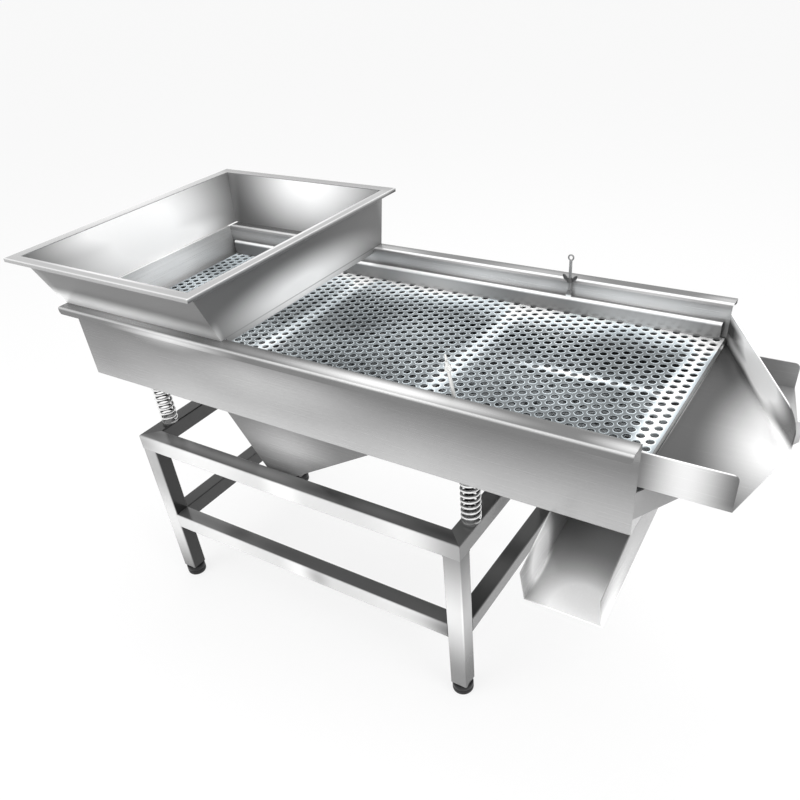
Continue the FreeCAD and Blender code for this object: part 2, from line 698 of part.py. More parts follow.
def trough():
    """The folded trough with the hole that feeds the fines chute, its end plate and its outlet sill."""
    item = body("trough_shell")
    section = sketch_on(item, "YZ_Plane", "trough_profile", "trough_left")
    trough_section(section)
    folded = pad(item, section, "trough_right - trough_left", "trough_folded")
    width = size("frame_width")
    rim = size("rim_width")
    top = size("trough_top")
    low = size("trough_bottom")
    thick = size("sheet_metal")

    def bends(corners):
        def chosen(edge):
            return runs_along(edge, 0) and any(near(edge, 1, y) and near(edge, 2, z) for y, z in corners)
        return chosen

    outer = bends([(0, low), (width, low), (-rim, top), (width + rim, top)])
    last = round_edges(item, folded, outer, "trough_bend", "trough_outer_bends")
    over = bends([(thick, top), (width - thick, top)])
    last = round_edges(item, last, over, "rim_bend", "trough_rim_bends")
    under = bends([(0, top - thick), (width, top - thick)])
    last = round_edges(item, last, under, "rim_bend - sheet_metal", "trough_rim_bend_insides")
    lip = top - size("rim_lip")

    def lip_end(edge):
        middle = edge.BoundBox.Center[0]
        at_end = any(abs(middle - size(end)) < 0.01 for end in ("trough_left", "trough_right"))
        return runs_along(edge, 1) and near(edge, 2, lip) and at_end

    round_edges(item, last, lip_end, "rim_end_corner", "trough_lip_corners")
    hole = sketch_on(item, "XY_Plane", "fines_hole")
    left = "fines_left + sheet_metal"
    right = "trough_right - sheet_metal"
    rectangle(hole, left, right, "fines_hole_margin", "fines_reach - fines_lip")
    opened = item.newObject("PartDesign::Pocket", "fines_opening")
    opened.Profile = hole
    opened.setExpression("Length", bound("trough_bottom + sheet_metal * 2"))
    opened.Reversed = True
    keep(item, "trough_shell")
    end_plate()
    sill = block("sill_blank", "trough_right - sheet_metal", "sheet_metal", "trough_bottom + sheet_metal",
                 "sheet_metal", "frame_width - 2 * sheet_metal",
                 "middle_floor_top - trough_bottom - 2 * sheet_metal")
    keep(sill, "outlet_sill")


def end_plate():
    """The plate that closes the feed end, with a flange folded outwards on top."""
    item = body("end_plate")
    section = sketch_on(item, "XZ_Plane", "end_plate_profile", "-sheet_metal")
    thick = "sheet_metal"
    outline(section, [
        ("trough_left", f"trough_bottom + {thick}"),
        (f"trough_left + {thick}", f"trough_bottom + {thick}"),
        (f"trough_left + {thick}", "trough_top"),
        ("trough_left - end_flange", "trough_top"),
        ("trough_left - end_flange", f"trough_top - {thick}"),
        ("trough_left", f"trough_top - {thick}"),
    ])
    pad(item, section, "frame_width - 2 * sheet_metal", "end_plate_folded", backwards=True)
    return keep(item, "trough_end_plate")


def ledge(name, face, inward, top):
    """An angle along the trough's wall; face is the wall's inner face and inward its direction."""
    item = body(name)
    section = sketch_on(item, "YZ_Plane", name + "_profile", "deck_left")
    step = "" if inward > 0 else "-"
    thick = f"{step}ledge_thickness"
    wide = f"{step}ledge_width"
    outline(section, [
        (face, top),
        (f"{face} + {wide}", top),
        (f"{face} + {wide}", f"{top} - ledge_thickness"),
        (f"{face} + {thick}", f"{top} - ledge_thickness"),
        (f"{face} + {thick}", f"{top} - ledge_height"),
        (face, f"{top} - ledge_height"),
    ])
    pad(item, section, "deck_right - deck_left", name + "_length")
    return item


def ledges():
    """Four angles: one under each side of both decks."""
    angles = []
    for deck in ("upper", "lower"):
        top = f"{deck}_deck_top - deck_thickness - deck_bar_height"
        angles.append(ledge(deck + "_ledge_front", "sheet_metal", 1, top))
        angles.append(ledge(deck + "_ledge_back", "frame_width - sheet_metal", -1, top))
    keep(group("ledges_group", angles), "deck_ledges")


def deck(which, cross_bars):
    """A sheet with rows of round openings, which stand for its fine perforations, on a grid of flat bars."""
    top = f"{which}_deck_top"
    side = "sheet_metal + deck_gap"
    width = f"frame_width - 2 * ({side})"
    plate = body(which + "_deck_sheet")
    edge = sketch_on(plate, "XY_Plane", which + "_deck_outline", f"{top} - deck_thickness")
    rectangle(edge, "deck_left", "deck_right", side, f"{side} + {width}")
    pad(plate, edge, "deck_thickness", which + "_deck_plate")
    holes = sketch_on(plate, "XY_Plane", which + "_deck_holes", top)
    for row in range(int(size("opening_rows"))):
        across = f"{side} + ({row} + 0.5) * ({width}) / opening_rows"
        circle(holes, "deck_left + (deck_right - deck_left) / opening_columns / 2", across, "opening_radius")
    first = pocket(plate, holes, which + "_deck_column")
    columns = plate.newObject("PartDesign::LinearPattern", which + "_deck_openings")
    columns.Originals = [first]
    along = [entry for entry in plate.Origin.OriginFeatures if entry.Role == "X_Axis"][0]
    columns.Direction = (along, [""])
    columns.setExpression("Length", bound("(deck_right - deck_left) * (opening_columns - 1) / opening_columns"))
    columns.setExpression("Occurrences", bound("opening_columns"))
    plate.Tip = columns
    keep(plate, which + "_deck")
    low = f"{top} - deck_thickness - deck_bar_height"
    long_bars = []
    middle = "(frame_width - deck_bar_width) / 2"
    far = f"frame_width - ({side}) - deck_bar_width"
    for index, y in enumerate((side, middle, far)):
        long_bars.append(block(f"{which}_long_bar_{index}", "deck_left", y, low,
                               "deck_right - deck_left", "deck_bar_width", "deck_bar_height"))
    keep(group(which + "_long_bars_group", long_bars), which + "_deck_long_bars")
    short_bars = []
    for index, x in enumerate(cross_bars):
        for half, y in enumerate((side, middle)):
            length = f"({middle}) - ({side}) - deck_bar_width"
            short_bars.append(block(f"{which}_cross_bar_{index}_{half}", x, f"{y} + deck_bar_width", low,
                                    "deck_bar_width", length, "deck_bar_height"))
    return short_bars


def decks():
    """Both screening decks; their cross bars are kept as one node for each deck."""
    places = ["deck_left", "cross_bar_first - deck_bar_width / 2", "cross_bar_second - deck_bar_width / 2",
              "deck_right - deck_bar_width"]
    for which in ("upper", "lower"):
        bars = deck(which, places)
        keep(group(which + "_cross_bars_group", bars), which + "_deck_cross_bars")


def hold_down_bar(label, side):
    """An angle along the wall that presses on the upper deck, with the pivot lug of its eye bolt."""
    item = body(label)
    section = sketch_on(item, "YZ_Plane", label + "_profile", "bar_left")
    front = side == "front"
    wall = "sheet_metal" if front else "frame_width - sheet_metal"
    step = "" if front else "-"
    top = "upper_deck_top + bar_height"
    face = f"{wall} + {step}bar_depth"
    inner = f"{wall} + {step}(bar_depth - bar_thickness)"
    outline(section, [
        (wall, top),
        (face, top),
        (face, "upper_deck_top"),
        (inner, "upper_deck_top"),
        (inner, f"{top} - bar_thickness"),
        (wall, f"{top} - bar_thickness"),
    ])
    strip = pad(item, section, "bar_right - bar_left", label + "_length")
    high = size("upper_deck_top") + size("bar_height")
    wall_place = size("sheet_metal") if front else size("frame_width") - size("sheet_metal")
    sign = 1 if front else -1
    depth = size("bar_depth")
    thick = size("bar_thickness")

    def fold(y, z):
        return lambda edge: runs_along(edge, 0) and near(edge, 1, y) and near(edge, 2, z)

    outside = fold(wall_place + sign * depth, high)
    strip = round_edges(item, strip, outside, "bar_bend", label + "_bend")
    inside = fold(wall_place + sign * (depth - thick), high - thick)
    round_edges(item, strip, inside, "bar_bend - bar_thickness", label + "_bend_inside")
    middle = bolt_axis(side)
    place = bolt_station(side)
    ear_gap = "(hinge_eye_width / 2 + ear_clearance)"
    for index, start in enumerate((f"{middle} + {ear_gap}", f"{middle} - {ear_gap} - lug_thickness")):
        ear = upright_sketch(item, f"{label}_ear_{index}", start)
        left = f"{place} - lug_half_width"
        right = f"{place} + lug_half_width"
        high = f"{top} + pivot_height"
        outline(ear, [
            (left, f"{top} - bar_thickness / 2"),
            (right, f"{top} - bar_thickness / 2"),
            (right, high),
            (f"{right} - lug_half_width / 2", f"{high} + lug_half_width"),
            (f"{left} + lug_half_width / 2", f"{high} + lug_half_width"),
            (left, high),
        ])
        circle(ear, place, high, "pin_radius + running_clearance")
        pad(item, ear, "lug_thickness", f"{label}_lug_{index}", backwards=True)
    return keep(item, label)


def bolt_axis(side):
    """Where the eye bolt stands across the trough."""
    if side == "front":
        return "sheet_metal + bar_depth / 2"
    return "frame_width - sheet_metal - bar_depth / 2"


def bolt_station(side):
    """Where the eye bolt stands along the trough."""
    return "bolt_place + front_bolt_ahead" if side == "front" else "bolt_place"


def pivot_pin(label, side):
    """The pin through both ears of the lug."""
    length = "(hinge_eye_width + 2 * ear_clearance + 2 * lug_thickness + 2 * pin_proud)"
    item = doc.addObject("Part::Cylinder", label + "_rod")
    item.setExpression("Radius", bound("pin_radius"))
    item.setExpression("Height", bound(length))
    item.Placement.Rotation = FreeCAD.Rotation(Vector(1, 0, 0), -90)
    move(item, bolt_station(side), f"{bolt_axis(side)} - {length} / 2", "pivot_level")
    return keep(item, label)


def on_bolt(item, side, lean):
    """Stands an item that is drawn around its own pivot on an eye bolt's pivot."""
    item.Placement.Rotation = FreeCAD.Rotation(Vector(0, 1, 0), 1)
    item.setExpression(".Placement.Rotation.Angle", bound(lean))
    move(item, bolt_station(side), bolt_axis(side), "pivot_level")


def eye_bolt(label, side, lean, turn):
    """A shank with a flat hinge eye at its foot and a ring on top."""
    reach = side + "_bolt_reach"
    item = body(label)
    foot = upright_sketch(item, label + "_hinge", "-hinge_eye_width / 2")
    circle(foot, "0", "0", "hinge_eye_radius")
    pad(item, foot, "hinge_eye_width", label + "_hinge_eye", backwards=True)
    tongue = upright_sketch(item, label + "_tongue", "-hinge_eye_width / 2")
    outline(tongue, [
        ("-tongue_half", "0"),
        ("tongue_half", "0"),
        ("tongue_half", "tongue_length"),
        ("-tongue_half", "tongue_length"),
    ])
    pad(item, tongue, "hinge_eye_width", label + "_tongue_pad", backwards=True)
    shank = sketch_on(item, "XY_Plane", label + "_shank", "tongue_length")
    circle(shank, "0", "0", "eye_bolt_radius")
    pad(item, shank, f"{reach} - eye_radius - tongue_length", label + "_shank_pad")
    ring = sketch_on(item, "XY_Plane", label + "_ring", reach)
    turn_sketch(ring, Vector(0, 0, 1), turn)
    circle(ring, "eye_radius", "0", "eye_wire")
    turned = item.newObject("PartDesign::Revolution", label + "_eye")
    turned.Profile = ring
    turned.ReferenceAxis = (ring, ["V_Axis"])
    turned.Angle = FULL_TURN
    bore = sketch_on(item, "XZ_Plane", label + "_bore")
    circle(bore, "0", "0", "pin_radius + running_clearance")
    pocket(item, bore, label + "_pin_bore")
    on_bolt(item, side, lean)
    return keep(item, label)


def washer(label, side, lean, place):
    """The washer that travels under a wing nut."""
    item = body(label)
    ring = sketch_on(item, "XY_Plane", label + "_ring", f"{place} - washer_thickness")
    circle(ring, "0", "0", "washer_radius")
    circle(ring, "0", "0", "eye_bolt_radius + thread_clearance")
    pad(item, ring, "washer_thickness", label + "_plate")
    on_bolt(item, side, lean)
    return keep(item, label)


def wing_nut(label, side, lean, place, turn):
    """A hub with two wings that spread upwards."""
    item = body(label)
    hub = sketch_on(item, "XZ_Plane", label + "_hub")
    outline(hub, [
        ("0", place),
        ("nut_hub_radius", place),
        ("nut_hub_radius * 0.72", f"{place} + nut_hub_height"),
        ("0", f"{place} + nut_hub_height"),
    ])
    turned = item.newObject("PartDesign::Revolution", label + "_hub_turned")
    turned.Profile = hub
    turned.ReferenceAxis = (hub, ["V_Axis"])
    turned.Angle = FULL_TURN
    for index, way in enumerate(("", "-")):
        wing = sketch_on(item, "XZ_Plane", f"{label}_wing_{index}")
        turn_sketch(wing, Vector(0, 1, 0), turn)
        outline(wing, [
            (f"{way}nut_hub_radius * 0.55", f"{place} + 1"),
            (f"{way}nut_hub_radius", f"{place} + 0.5"),
            (f"{way}wing_span * 0.42", f"{place} + wing_height * 0.35"),
            (f"{way}wing_span / 2", f"{place} + wing_height * 0.8"),
            (f"{way}wing_span * 0.46", f"{place} + wing_height"),
            (f"{way}wing_span * 0.34", f"{place} + wing_height * 0.92"),
            (f"{way}nut_hub_radius * 0.6", f"{place} + nut_hub_height * 0.8"),
        ])
        pad(item, wing, "wing_thickness", f"{label}_wing_pad_{index}").Midplane = True
    bore = sketch_on(item, "XY_Plane", label + "_thread")
    circle(bore, "0", "0", "eye_bolt_radius + thread_clearance")
    pocket(item, bore, label + "_thread_bore")
    on_bolt(item, side, lean)
    return keep(item, label)


def hold_downs():
    """Both hold-down bars, each with its hinged eye bolt, washer and wing nut."""
    fittings = (("front", "-front_lean", "front_nut_place", "front_turn"), ("back", "0", "back_nut_place", "0"))
    for side, lean, place, turn in fittings:
        hold_down_bar("hold_down_bar_" + side, side)
        pivot_pin("pivot_pin_" + side, side)
        eye_bolt("eye_bolt_" + side, side, lean, turn)
        washer("washer_" + side, side, lean, place)
        wing_nut("wing_nut_" + side, side, lean, place, turn)


def rectangle(sketch, left, right, front, back):
    """A rectangle between four sides."""
    outline(sketch, [(left, front), (right, front), (right, back), (left, back)])


def hopper():
    """A tapering hopper of folded sheet, with a flat rim whose edge is folded down."""
    item = body("hopper_shell")
    top = "trough_top + hopper_rise - hopper_sheet"
    base = sketch_on(item, "XY_Plane", "hopper_base", "trough_top")
    rectangle(base, "hopper_base_left", "hopper_base_right", "-hopper_base_overhang", "hopper_base_back")
    mouth = sketch_on(item, "XY_Plane", "hopper_mouth", top)
    rectangle(mouth, "hopper_top_left", "hopper_top_right", "-hopper_top_overhang", "hopper_top_back")
    taper = item.newObject("PartDesign::AdditiveLoft", "hopper_taper")
    taper.Profile = base
    taper.Sections = [mouth]
    thick = "hopper_sheet"
    inner_base = sketch_on(item, "XY_Plane", "hopper_inner_base", "trough_top")
    rectangle(inner_base, f"hopper_base_left + {thick}", f"hopper_base_right - {thick}",
              f"-hopper_base_overhang + {thick}", f"hopper_base_back - {thick}")
    inner_mouth = sketch_on(item, "XY_Plane", "hopper_inner_mouth", top)
    rectangle(inner_mouth, f"hopper_top_left + {thick}", f"hopper_top_right - {thick}",
              f"-hopper_top_overhang + {thick}", f"hopper_top_back - {thick}")
    hollow = item.newObject("PartDesign::SubtractiveLoft", "hopper_hollow")
    hollow.Profile = inner_base
    hollow.Sections = [inner_mouth]
    skirt = sketch_on(item, "XZ_Plane", "hopper_skirt", "-(sheet_metal + 1)")
    outline(skirt, [
        ("hopper_base_right - hopper_sheet", "trough_top - skirt_height"),
        ("hopper_base_right", "trough_top - skirt_height"),
        ("hopper_base_right", "trough_top + 1"),
        ("hopper_base_right - hopper_sheet", "trough_top + 1"),
    ])
    pad(item, skirt, "frame_width - 2 * (sheet_metal + 1)", "hopper_skirt_pad", backwards=True)
    keep(item, "hopper_shell")
    hopper_rim()


def hopper_rim():
    """The rim around the mouth: a flat ring and a lip around its outer edge."""
    item = body("hopper_rim")
    top = "trough_top + hopper_rise"
    thick = "hopper_sheet"
    wide = "hopper_rim_width"
    outer = ("hopper_top_left - " + wide, "hopper_top_right + " + wide, "-hopper_top_overhang - " + wide,
             "hopper_top_back + " + wide)
    flat = sketch_on(item, "XY_Plane", "hopper_rim_flat", f"{top} - {thick}")
    rectangle(flat, *outer)
    rectangle(flat, f"hopper_top_left + {thick}", f"hopper_top_right - {thick}",
              f"-hopper_top_overhang + {thick}", f"hopper_top_back - {thick}")
    pad(item, flat, thick, "hopper_rim_plate")
    lip = sketch_on(item, "XY_Plane", "hopper_rim_edge", f"{top} - hopper_rim_lip")
    rectangle(lip, *outer)
    rectangle(lip, f"{outer[0]} + {thick}", f"{outer[1]} - {thick}", f"{outer[2]} + {thick}",
              f"{outer[3]} - {thick}")
    pad(item, lip, "hopper_rim_lip", "hopper_rim_lip_pad")
    return keep(item, "hopper_rim")


def end_chute(label, floor_top, wall_height, mirrored):
    """A flat chute off the trough's end: one wall in line with a side, the other slanting across."""
    item = body(label + "_sharp")
    thick = "sheet_metal"
    start = "trough_right"
    straight = "frame_width" if mirrored else "0"
    across = "-" if mirrored else ""
    opposite = "0" if mirrored else "frame_width"
    low = f"{floor_top} - {thick}"
    straight_end = f"{start} + straight_wall_length"
    corner_x = f"{start} + outlet_offset_x"
    corner_y = f"{straight} + {across}outlet_offset_y"
    floor = sketch_on(item, "XY_Plane", label + "_floor", low)
    outline(floor, [(start, straight), (straight_end, straight), (corner_x, corner_y), (start, opposite)])
    pad(item, floor, thick, label + "_floor_pad")
    side = sketch_on(item, "XY_Plane", label + "_side", low)
    outline(side, [
        (start, straight),
        (straight_end, straight),
        (straight_end, f"{straight} + {across}{thick}"),
        (start, f"{straight} + {across}{thick}"),
    ])
    pad(item, side, f"{wall_height} + {thick}", label + "_side_pad")
    slant = sketch_on(item, "XY_Plane", label + "_slant", low)
    run = "(frame_width - outlet_offset_y)"
    slope = f"{thick} * sqrt(outlet_offset_x ^ 2 + {run} ^ 2)"
    outline(slant, [
        (start, opposite),
        (corner_x, corner_y),
        (f"{corner_x} - {slope} / {run}", corner_y),
        (start, f"{opposite} - {across}{slope} / outlet_offset_x"),
    ])
    slant_pad = pad(item, slant, f"{wall_height} + {thick}", label + "_slant_pad")
    top = size(floor_top) + size(wall_height)
    side_x = size("trough_right") + size("straight_wall_length")

    def side_corner(edge):
        box = edge.BoundBox
        return runs_along(edge, 1) and near(edge, 2, top) and near(edge, 0, side_x) and box.YLength < 5

    round_edges(item, slant_pad, side_corner, "chute_corner", label + "_side_round")
    top_level = f"({floor_top} + {wall_height})"
    middle_x = f"({corner_x} - chute_far_corner)"
    middle_z = f"({top_level} - chute_far_corner)"
    reach = "chute_far_corner * 4"
    square = block(label + "_corner_square", middle_x, f"{corner_y} - ({reach}) / 2", middle_z,
                   "chute_far_corner * 2", reach, "chute_far_corner * 2")
    disc = upright(label + "_corner_disc", middle_x, f"{corner_y} - ({reach}) / 2", middle_z,
                   "chute_far_corner", reach)
    disc.Placement.Rotation = FreeCAD.Rotation(Vector(1, 0, 0), -90)
    sharp = cut(label + "_corner_waste", square, disc)
    return keep(cut(label + "_rounded", item, sharp), label)


def fines_chute():
    """A sloping channel under the trough's end that empties at the front."""
    item = body("fines_chute")
    thick = "sheet_metal"
    side_points = [
        ("-fines_front_reach", "fines_floor"),
        ("fines_reach", "trough_bottom"),
        ("0", "trough_bottom"),
        ("-fines_mouth_reach", "fines_mouth_top"),
    ]
    for index, x in enumerate(("fines_left", f"trough_right - {thick}")):
        side = sketch_on(item, "YZ_Plane", f"fines_side_{index}", x)
        outline(side, side_points)
        if index == 0:
            pad(item, side, thick, "fines_side_pad_0")
    floor = sketch_on(item, "YZ_Plane", "fines_floor_profile", "fines_left")
    run = "(fines_reach + fines_front_reach)"
    slope = f"{thick} * sqrt(fines_drop ^ 2 + {run} ^ 2)"
    outline(floor, [
        ("-fines_front_reach", "fines_floor"),
        ("fines_reach", "trough_bottom"),
        (f"fines_reach - {slope} / fines_drop", "trough_bottom"),
        ("-fines_front_reach", f"fines_floor + {slope} / {run}"),
    ])
    pad(item, floor, "trough_right - fines_left", "fines_floor_pad")
    last = [entry for entry in item.Group if entry.Name == "fines_side_1"][0]
    pad(item, last, thick, "fines_side_pad_1")
    return keep(item, "fines_chute")


def gusset(label, start):
    """A three-cornered plate that hangs the motors under the trough."""
    item = body(label)
    plate = sketch_on(item, "XZ_Plane", label + "_outline", f"-({start})")
    outline(plate, [
        ("bracket_left", "trough_bottom"),
        (point_x(), "trough_bottom - bracket_depth"),
        (f"{point_x()} + bracket_depth / tan(bracket_rear_angle * 1 deg)", "trough_bottom"),
    ])
    pad(item, plate, "gusset_thickness", label + "_plate", backwards=True)
    return keep(item, label)


def point_x():
    """Where the gussets' lower point lies along X."""
    return "bracket_left + bracket_depth * tan(throw_angle * 1 deg)"


def motor_mount():
    """Two gussets and the inclined plate between them, square to the throw."""
    gusset("motor_gusset_front", "gusset_inset")
    gusset("motor_gusset_back", "frame_width - gusset_inset - gusset_thickness")
    item = body("motor_plate_blank")
    profile = upright_sketch(item, "motor_plate_profile", "gusset_inset + gusset_thickness")
    drop = "(bracket_depth - plate_foot_gap)"
    low_x = f"bracket_left + {drop} * tan(throw_angle * 1 deg)"
    shift = "motor_plate / cos(throw_angle * 1 deg)"
    outline(profile, [
        ("bracket_left", "trough_bottom"),
        (low_x, f"trough_bottom - {drop}"),
        (f"{low_x} + {shift}", f"trough_bottom - {drop}"),
        (f"bracket_left + {shift}", "trough_bottom"),
    ])
    pad(item, profile, "frame_width - 2 * (gusset_inset + gusset_thickness)", "motor_plate_pad", backwards=True)
    drills = []
    for name, along in MOTORS:
        drill = body(name + "_plate_drill")
        holes = sketch_on(drill, "XY_Plane", name + "_plate_holes", "-motor_plate - 1")
        bolt_circles(holes, "motor_bolt_radius + bolt_hole_clearance")
        pad(drill, holes, "motor_plate + 2", name + "_plate_drill_pad")
        on_plate(drill, along, "0")
        drills.append(drill)
    keep(cut("motor_plate_drilled", item, fuse("plate_drills", drills)), "motor_plate")


def bolt_circles(sketch, radius):
    """The four bolts of one motor."""
    for x in ("-motor_bolt_half_x", "motor_bolt_half_x"):
        for y in ("-motor_bolt_half_y", "motor_bolt_half_y"):
            circle(sketch, x, y, radius)


def on_plate(item, along, height):
    """Stands an item on the motor plate, its own X pointing down the plate and its Z along the throw."""
    item.Placement.Rotation = FreeCAD.Rotation(Vector(0, 1, 0), 1)
    item.setExpression(".Placement.Rotation.Angle", bound("90 - throw_angle"))
    sine = "sin(throw_angle * 1 deg)"
    cosine = "cos(throw_angle * 1 deg)"
    off = f"(motor_plate + {height})"
    move(item, f"bracket_left + ({along}) * {sine} + {off} * {cosine}", "frame_width / 2",
         f"trough_bottom - ({along}) * {cosine} + {off} * {sine}")


def motor_housing(label, along):
    """A ribbed cylinder on feet, closed by end shields that carry the shaft. Its origin is on its axis."""
    item = body(label)
    outer = upright_sketch(item, label + "_round", "-motor_body / 2")
    circle(outer, "0", "0", "motor_radius")
    pad(item, outer, "motor_body", label + "_cylinder", backwards=True)
    for index, place in enumerate(("-motor_bolt_half_y", "motor_bolt_half_y")):
        foot = upright_sketch(item, f"{label}_foot_{index}", f"{place} - motor_foot_length / 2")
        base = "-motor_axis_height"
        step = "motor_foot_thickness - motor_axis_height"
        outline(foot, [
            ("-motor_foot_half", base),
            ("motor_foot_half", base),
            ("motor_foot_half", step),
            ("motor_web_half", step),
            ("motor_web_half", "-motor_radius / 2"),
            ("-motor_web_half", "-motor_radius / 2"),
            ("-motor_web_half", step),
            ("-motor_foot_half", step),
        ])
        pad(item, foot, "motor_foot_length", f"{label}_foot_pad_{index}", backwards=True)
    seat = sketch_on(item, "XY_Plane", label + "_box_seat")
    rectangle(seat, "terminal_shift - terminal_width * 0.4", "terminal_shift + terminal_width * 0.4",
              "-terminal_length * 0.4", "terminal_length * 0.4")
    pad(item, seat, "terminal_seat", label + "_box_seat_pad")
    for index, way in enumerate(("", "-")):
        cooling_ribs(item, f"{label}_rib_{index}", way)
    holes = sketch_on(item, "XY_Plane", label + "_bolt_holes", "-motor_axis_height")
    bolt_circles(holes, "motor_bolt_radius + bolt_hole_clearance")
    drilled = item.newObject("PartDesign::Pocket", label + "_drilled")
    drilled.Profile = holes
    drilled.setExpression("Length", bound("motor_foot_thickness"))
    drilled.Reversed = True
    hollow = upright_sketch(item, label + "_bore", "shield - motor_body / 2")
    circle(hollow, "0", "0", "motor_bore")
    bored = item.newObject("PartDesign::Pocket", label + "_hollow")
    bored.Profile = hollow
    bored.setExpression("Length", bound("motor_body - 2 * shield"))
    bearing = sketch_on(item, "XZ_Plane", label + "_seat")
    circle(bearing, "0", "0", "shaft_radius + running_clearance")
    pocket(item, bearing, label + "_bearing_seats")
    on_plate(item, along, "motor_axis_height")
    return keep(item, label)


def cooling_ribs(item, name, way):
    """A fan of ribs up one side of the motor body, from its middle towards the terminal box."""
    rib = upright_sketch(item, name, "-fin_length / 2")
    outline(rib, [
        (f"{way}(motor_radius - 1)", "-fin_thickness / 2"),
        (f"{way}(motor_radius + fin_height)", "-fin_thickness / 2"),
        (f"{way}(motor_radius + fin_height)", "fin_thickness / 2"),
        (f"{way}(motor_radius - 1)", "fin_thickness / 2"),
    ])
    first = pad(item, rib, "fin_length", name + "_pad", backwards=True)
    fan = item.newObject("PartDesign::PolarPattern", name + "_fan")
    fan.Originals = [first]
    axis = [entry for entry in item.Origin.OriginFeatures if entry.Role == "Y_Axis"][0]
    fan.Axis = (axis, [""])
    fan.Reversed = way == ""
    fan.setExpression("Angle", bound("fin_spread"))
    fan.setExpression("Occurrences", bound("fin_count"))
    item.Tip = fan


def motor_rotor(label, along):
    """Core, shaft and one half-round eccentric weight at each end, made as one turning piece."""
    item = body(label)
    shaft = upright_sketch(item, label + "_shaft", "-shaft_length / 2")
    circle(shaft, "0", "0", "shaft_radius")
    pad(item, shaft, "shaft_length", label + "_shaft_pad", backwards=True)
    reach = "motor_body / 2 + weight_gap"
    for index, start in enumerate((reach, f"-({reach}) - weight_thickness")):
        disc = upright_sketch(item, f"{label}_weight_{index}", start)
        circle(disc, "0", "0", "weight_radius")
        pad(item, disc, "weight_thickness", f"{label}_weight_pad_{index}", backwards=True)
    half = sketch_on(item, "XZ_Plane", label + "_half")
    shoulder = "shaft_radius * 1.5"
    clear = "weight_radius * 1.1"
    outline(half, [
        (f"-{clear}", "0"),
        (f"-{shoulder}", "0"),
        (f"-{shoulder}", shoulder),
        (shoulder, shoulder),
        (shoulder, "0"),
        (clear, "0"),
        (clear, clear),
        (f"-{clear}", clear),
    ])
    pocket(item, half, label + "_weights_halved")
    core = upright_sketch(item, label + "_core", "-core_length / 2")
    circle(core, "0", "0", "core_radius")
    pad(item, core, "core_length", label + "_core_pad", backwards=True)
    on_plate(item, along, "motor_axis_height")
    return keep(item, label)


def end_cover(name, along, far):
    """A drawn cup over one pair of weights."""
    item = body(name)
    start = "motor_body / 2" if far else "-motor_body / 2 - cover_length"
    outer = upright_sketch(item, name + "_round", start)
    circle(outer, "0", "0", "motor_radius - cover_step")
    cup = pad(item, outer, "cover_length", name + "_cup", backwards=True)
    rim_y = size("motor_body") / 2 + size("cover_length")

    def closed_rim(edge):
        return isinstance(edge.Curve, Part.Circle) and abs(abs(edge.BoundBox.Center.y) - rim_y) < 0.01

    doc.recompute()
    edges = [f"Edge{index}" for index, edge in enumerate(cup.Shape.Edges, start=1) if closed_rim(edge)]
    bevel = item.newObject("PartDesign::Chamfer", name + "_rim")
    bevel.Base = (cup, edges)
    bevel.setExpression("Size", bound("cover_wall * 2"))
    inside = "motor_body / 2" if far else "cover_wall - motor_body / 2 - cover_length"
    hollow = upright_sketch(item, name + "_hollow", inside)
    circle(hollow, "0", "0", "motor_radius - cover_step - cover_wall")
    emptied = item.newObject("PartDesign::Pocket", name + "_emptied")
    emptied.Profile = hollow
    emptied.setExpression("Length", bound("cover_length - cover_wall"))
    on_plate(item, along, "motor_axis_height")
    return item


def terminal_box(name, along):
    """The box on a motor where its wires end, with a cable gland at one end."""
    item = body(name)
    box = sketch_on(item, "XY_Plane", name + "_box", "terminal_seat")
    rectangle(box, "terminal_shift - terminal_width / 2", "terminal_shift + terminal_width / 2",
              "-terminal_length / 2", "terminal_length / 2")
    case = pad(item, box, "terminal_height", name + "_case")
    round_edges(item, case, lambda edge: runs_along(edge, 2), "terminal_height / 4", name + "_corners")
    gland = upright_sketch(item, name + "_gland", "terminal_length / 2")
    circle(gland, "terminal_shift", "terminal_seat + terminal_height / 2", "gland_radius")
    pad(item, gland, "gland_length", name + "_gland_pad", backwards=True)
    on_plate(item, along, "motor_axis_height")
    return item


def motor_bolt(name, along, x, y):
    """A bolt down through a motor's foot and the plate, with its nut below."""
    item = body(name)
    head = sketch_on(item, "XY_Plane", name + "_head", "motor_foot_thickness")
    circle(head, x, y, "motor_bolt_head_radius")
    pad(item, head, "motor_bolt_head", name + "_head_pad")
    shank = sketch_on(item, "XY_Plane", name + "_shank", "-motor_plate - motor_bolt_head")
    circle(shank, x, y, "motor_bolt_radius")
    pad(item, shank, "motor_plate + motor_bolt_head + motor_foot_thickness", name + "_shank_pad")
    nut = sketch_on(item, "XY_Plane", name + "_nut", "-motor_plate - motor_bolt_head")
    circle(nut, x, y, "motor_bolt_head_radius")
    pad(item, nut, "motor_bolt_head", name + "_nut_pad")
    on_plate(item, along, "0")
    return item


def motors():
    """Two equal vibration motors, one above the other on the inclined plate."""
    covers = []
    boxes = []
    bolts = []
    for which, along in MOTORS:
        motor_housing(which + "_motor_housing", along)
        motor_rotor(which + "_motor_rotor", along)
        covers.append(end_cover(which + "_cover_near", along, False))
        covers.append(end_cover(which + "_cover_far", along, True))
        boxes.append(terminal_box(which + "_terminal", along))
        for x in ("-motor_bolt_half_x", "motor_bolt_half_x"):
            for y in ("-motor_bolt_half_y", "motor_bolt_half_y"):
                bolts.append(motor_bolt(f"{which}_bolt_{len(bolts)}", along, x, y))
    keep(group("covers_group", covers), "motor_end_covers")
    keep(group("boxes_group", boxes), "motor_terminal_boxes")
    keep(group("motor_bolts_group", bolts), "motor_bolts")


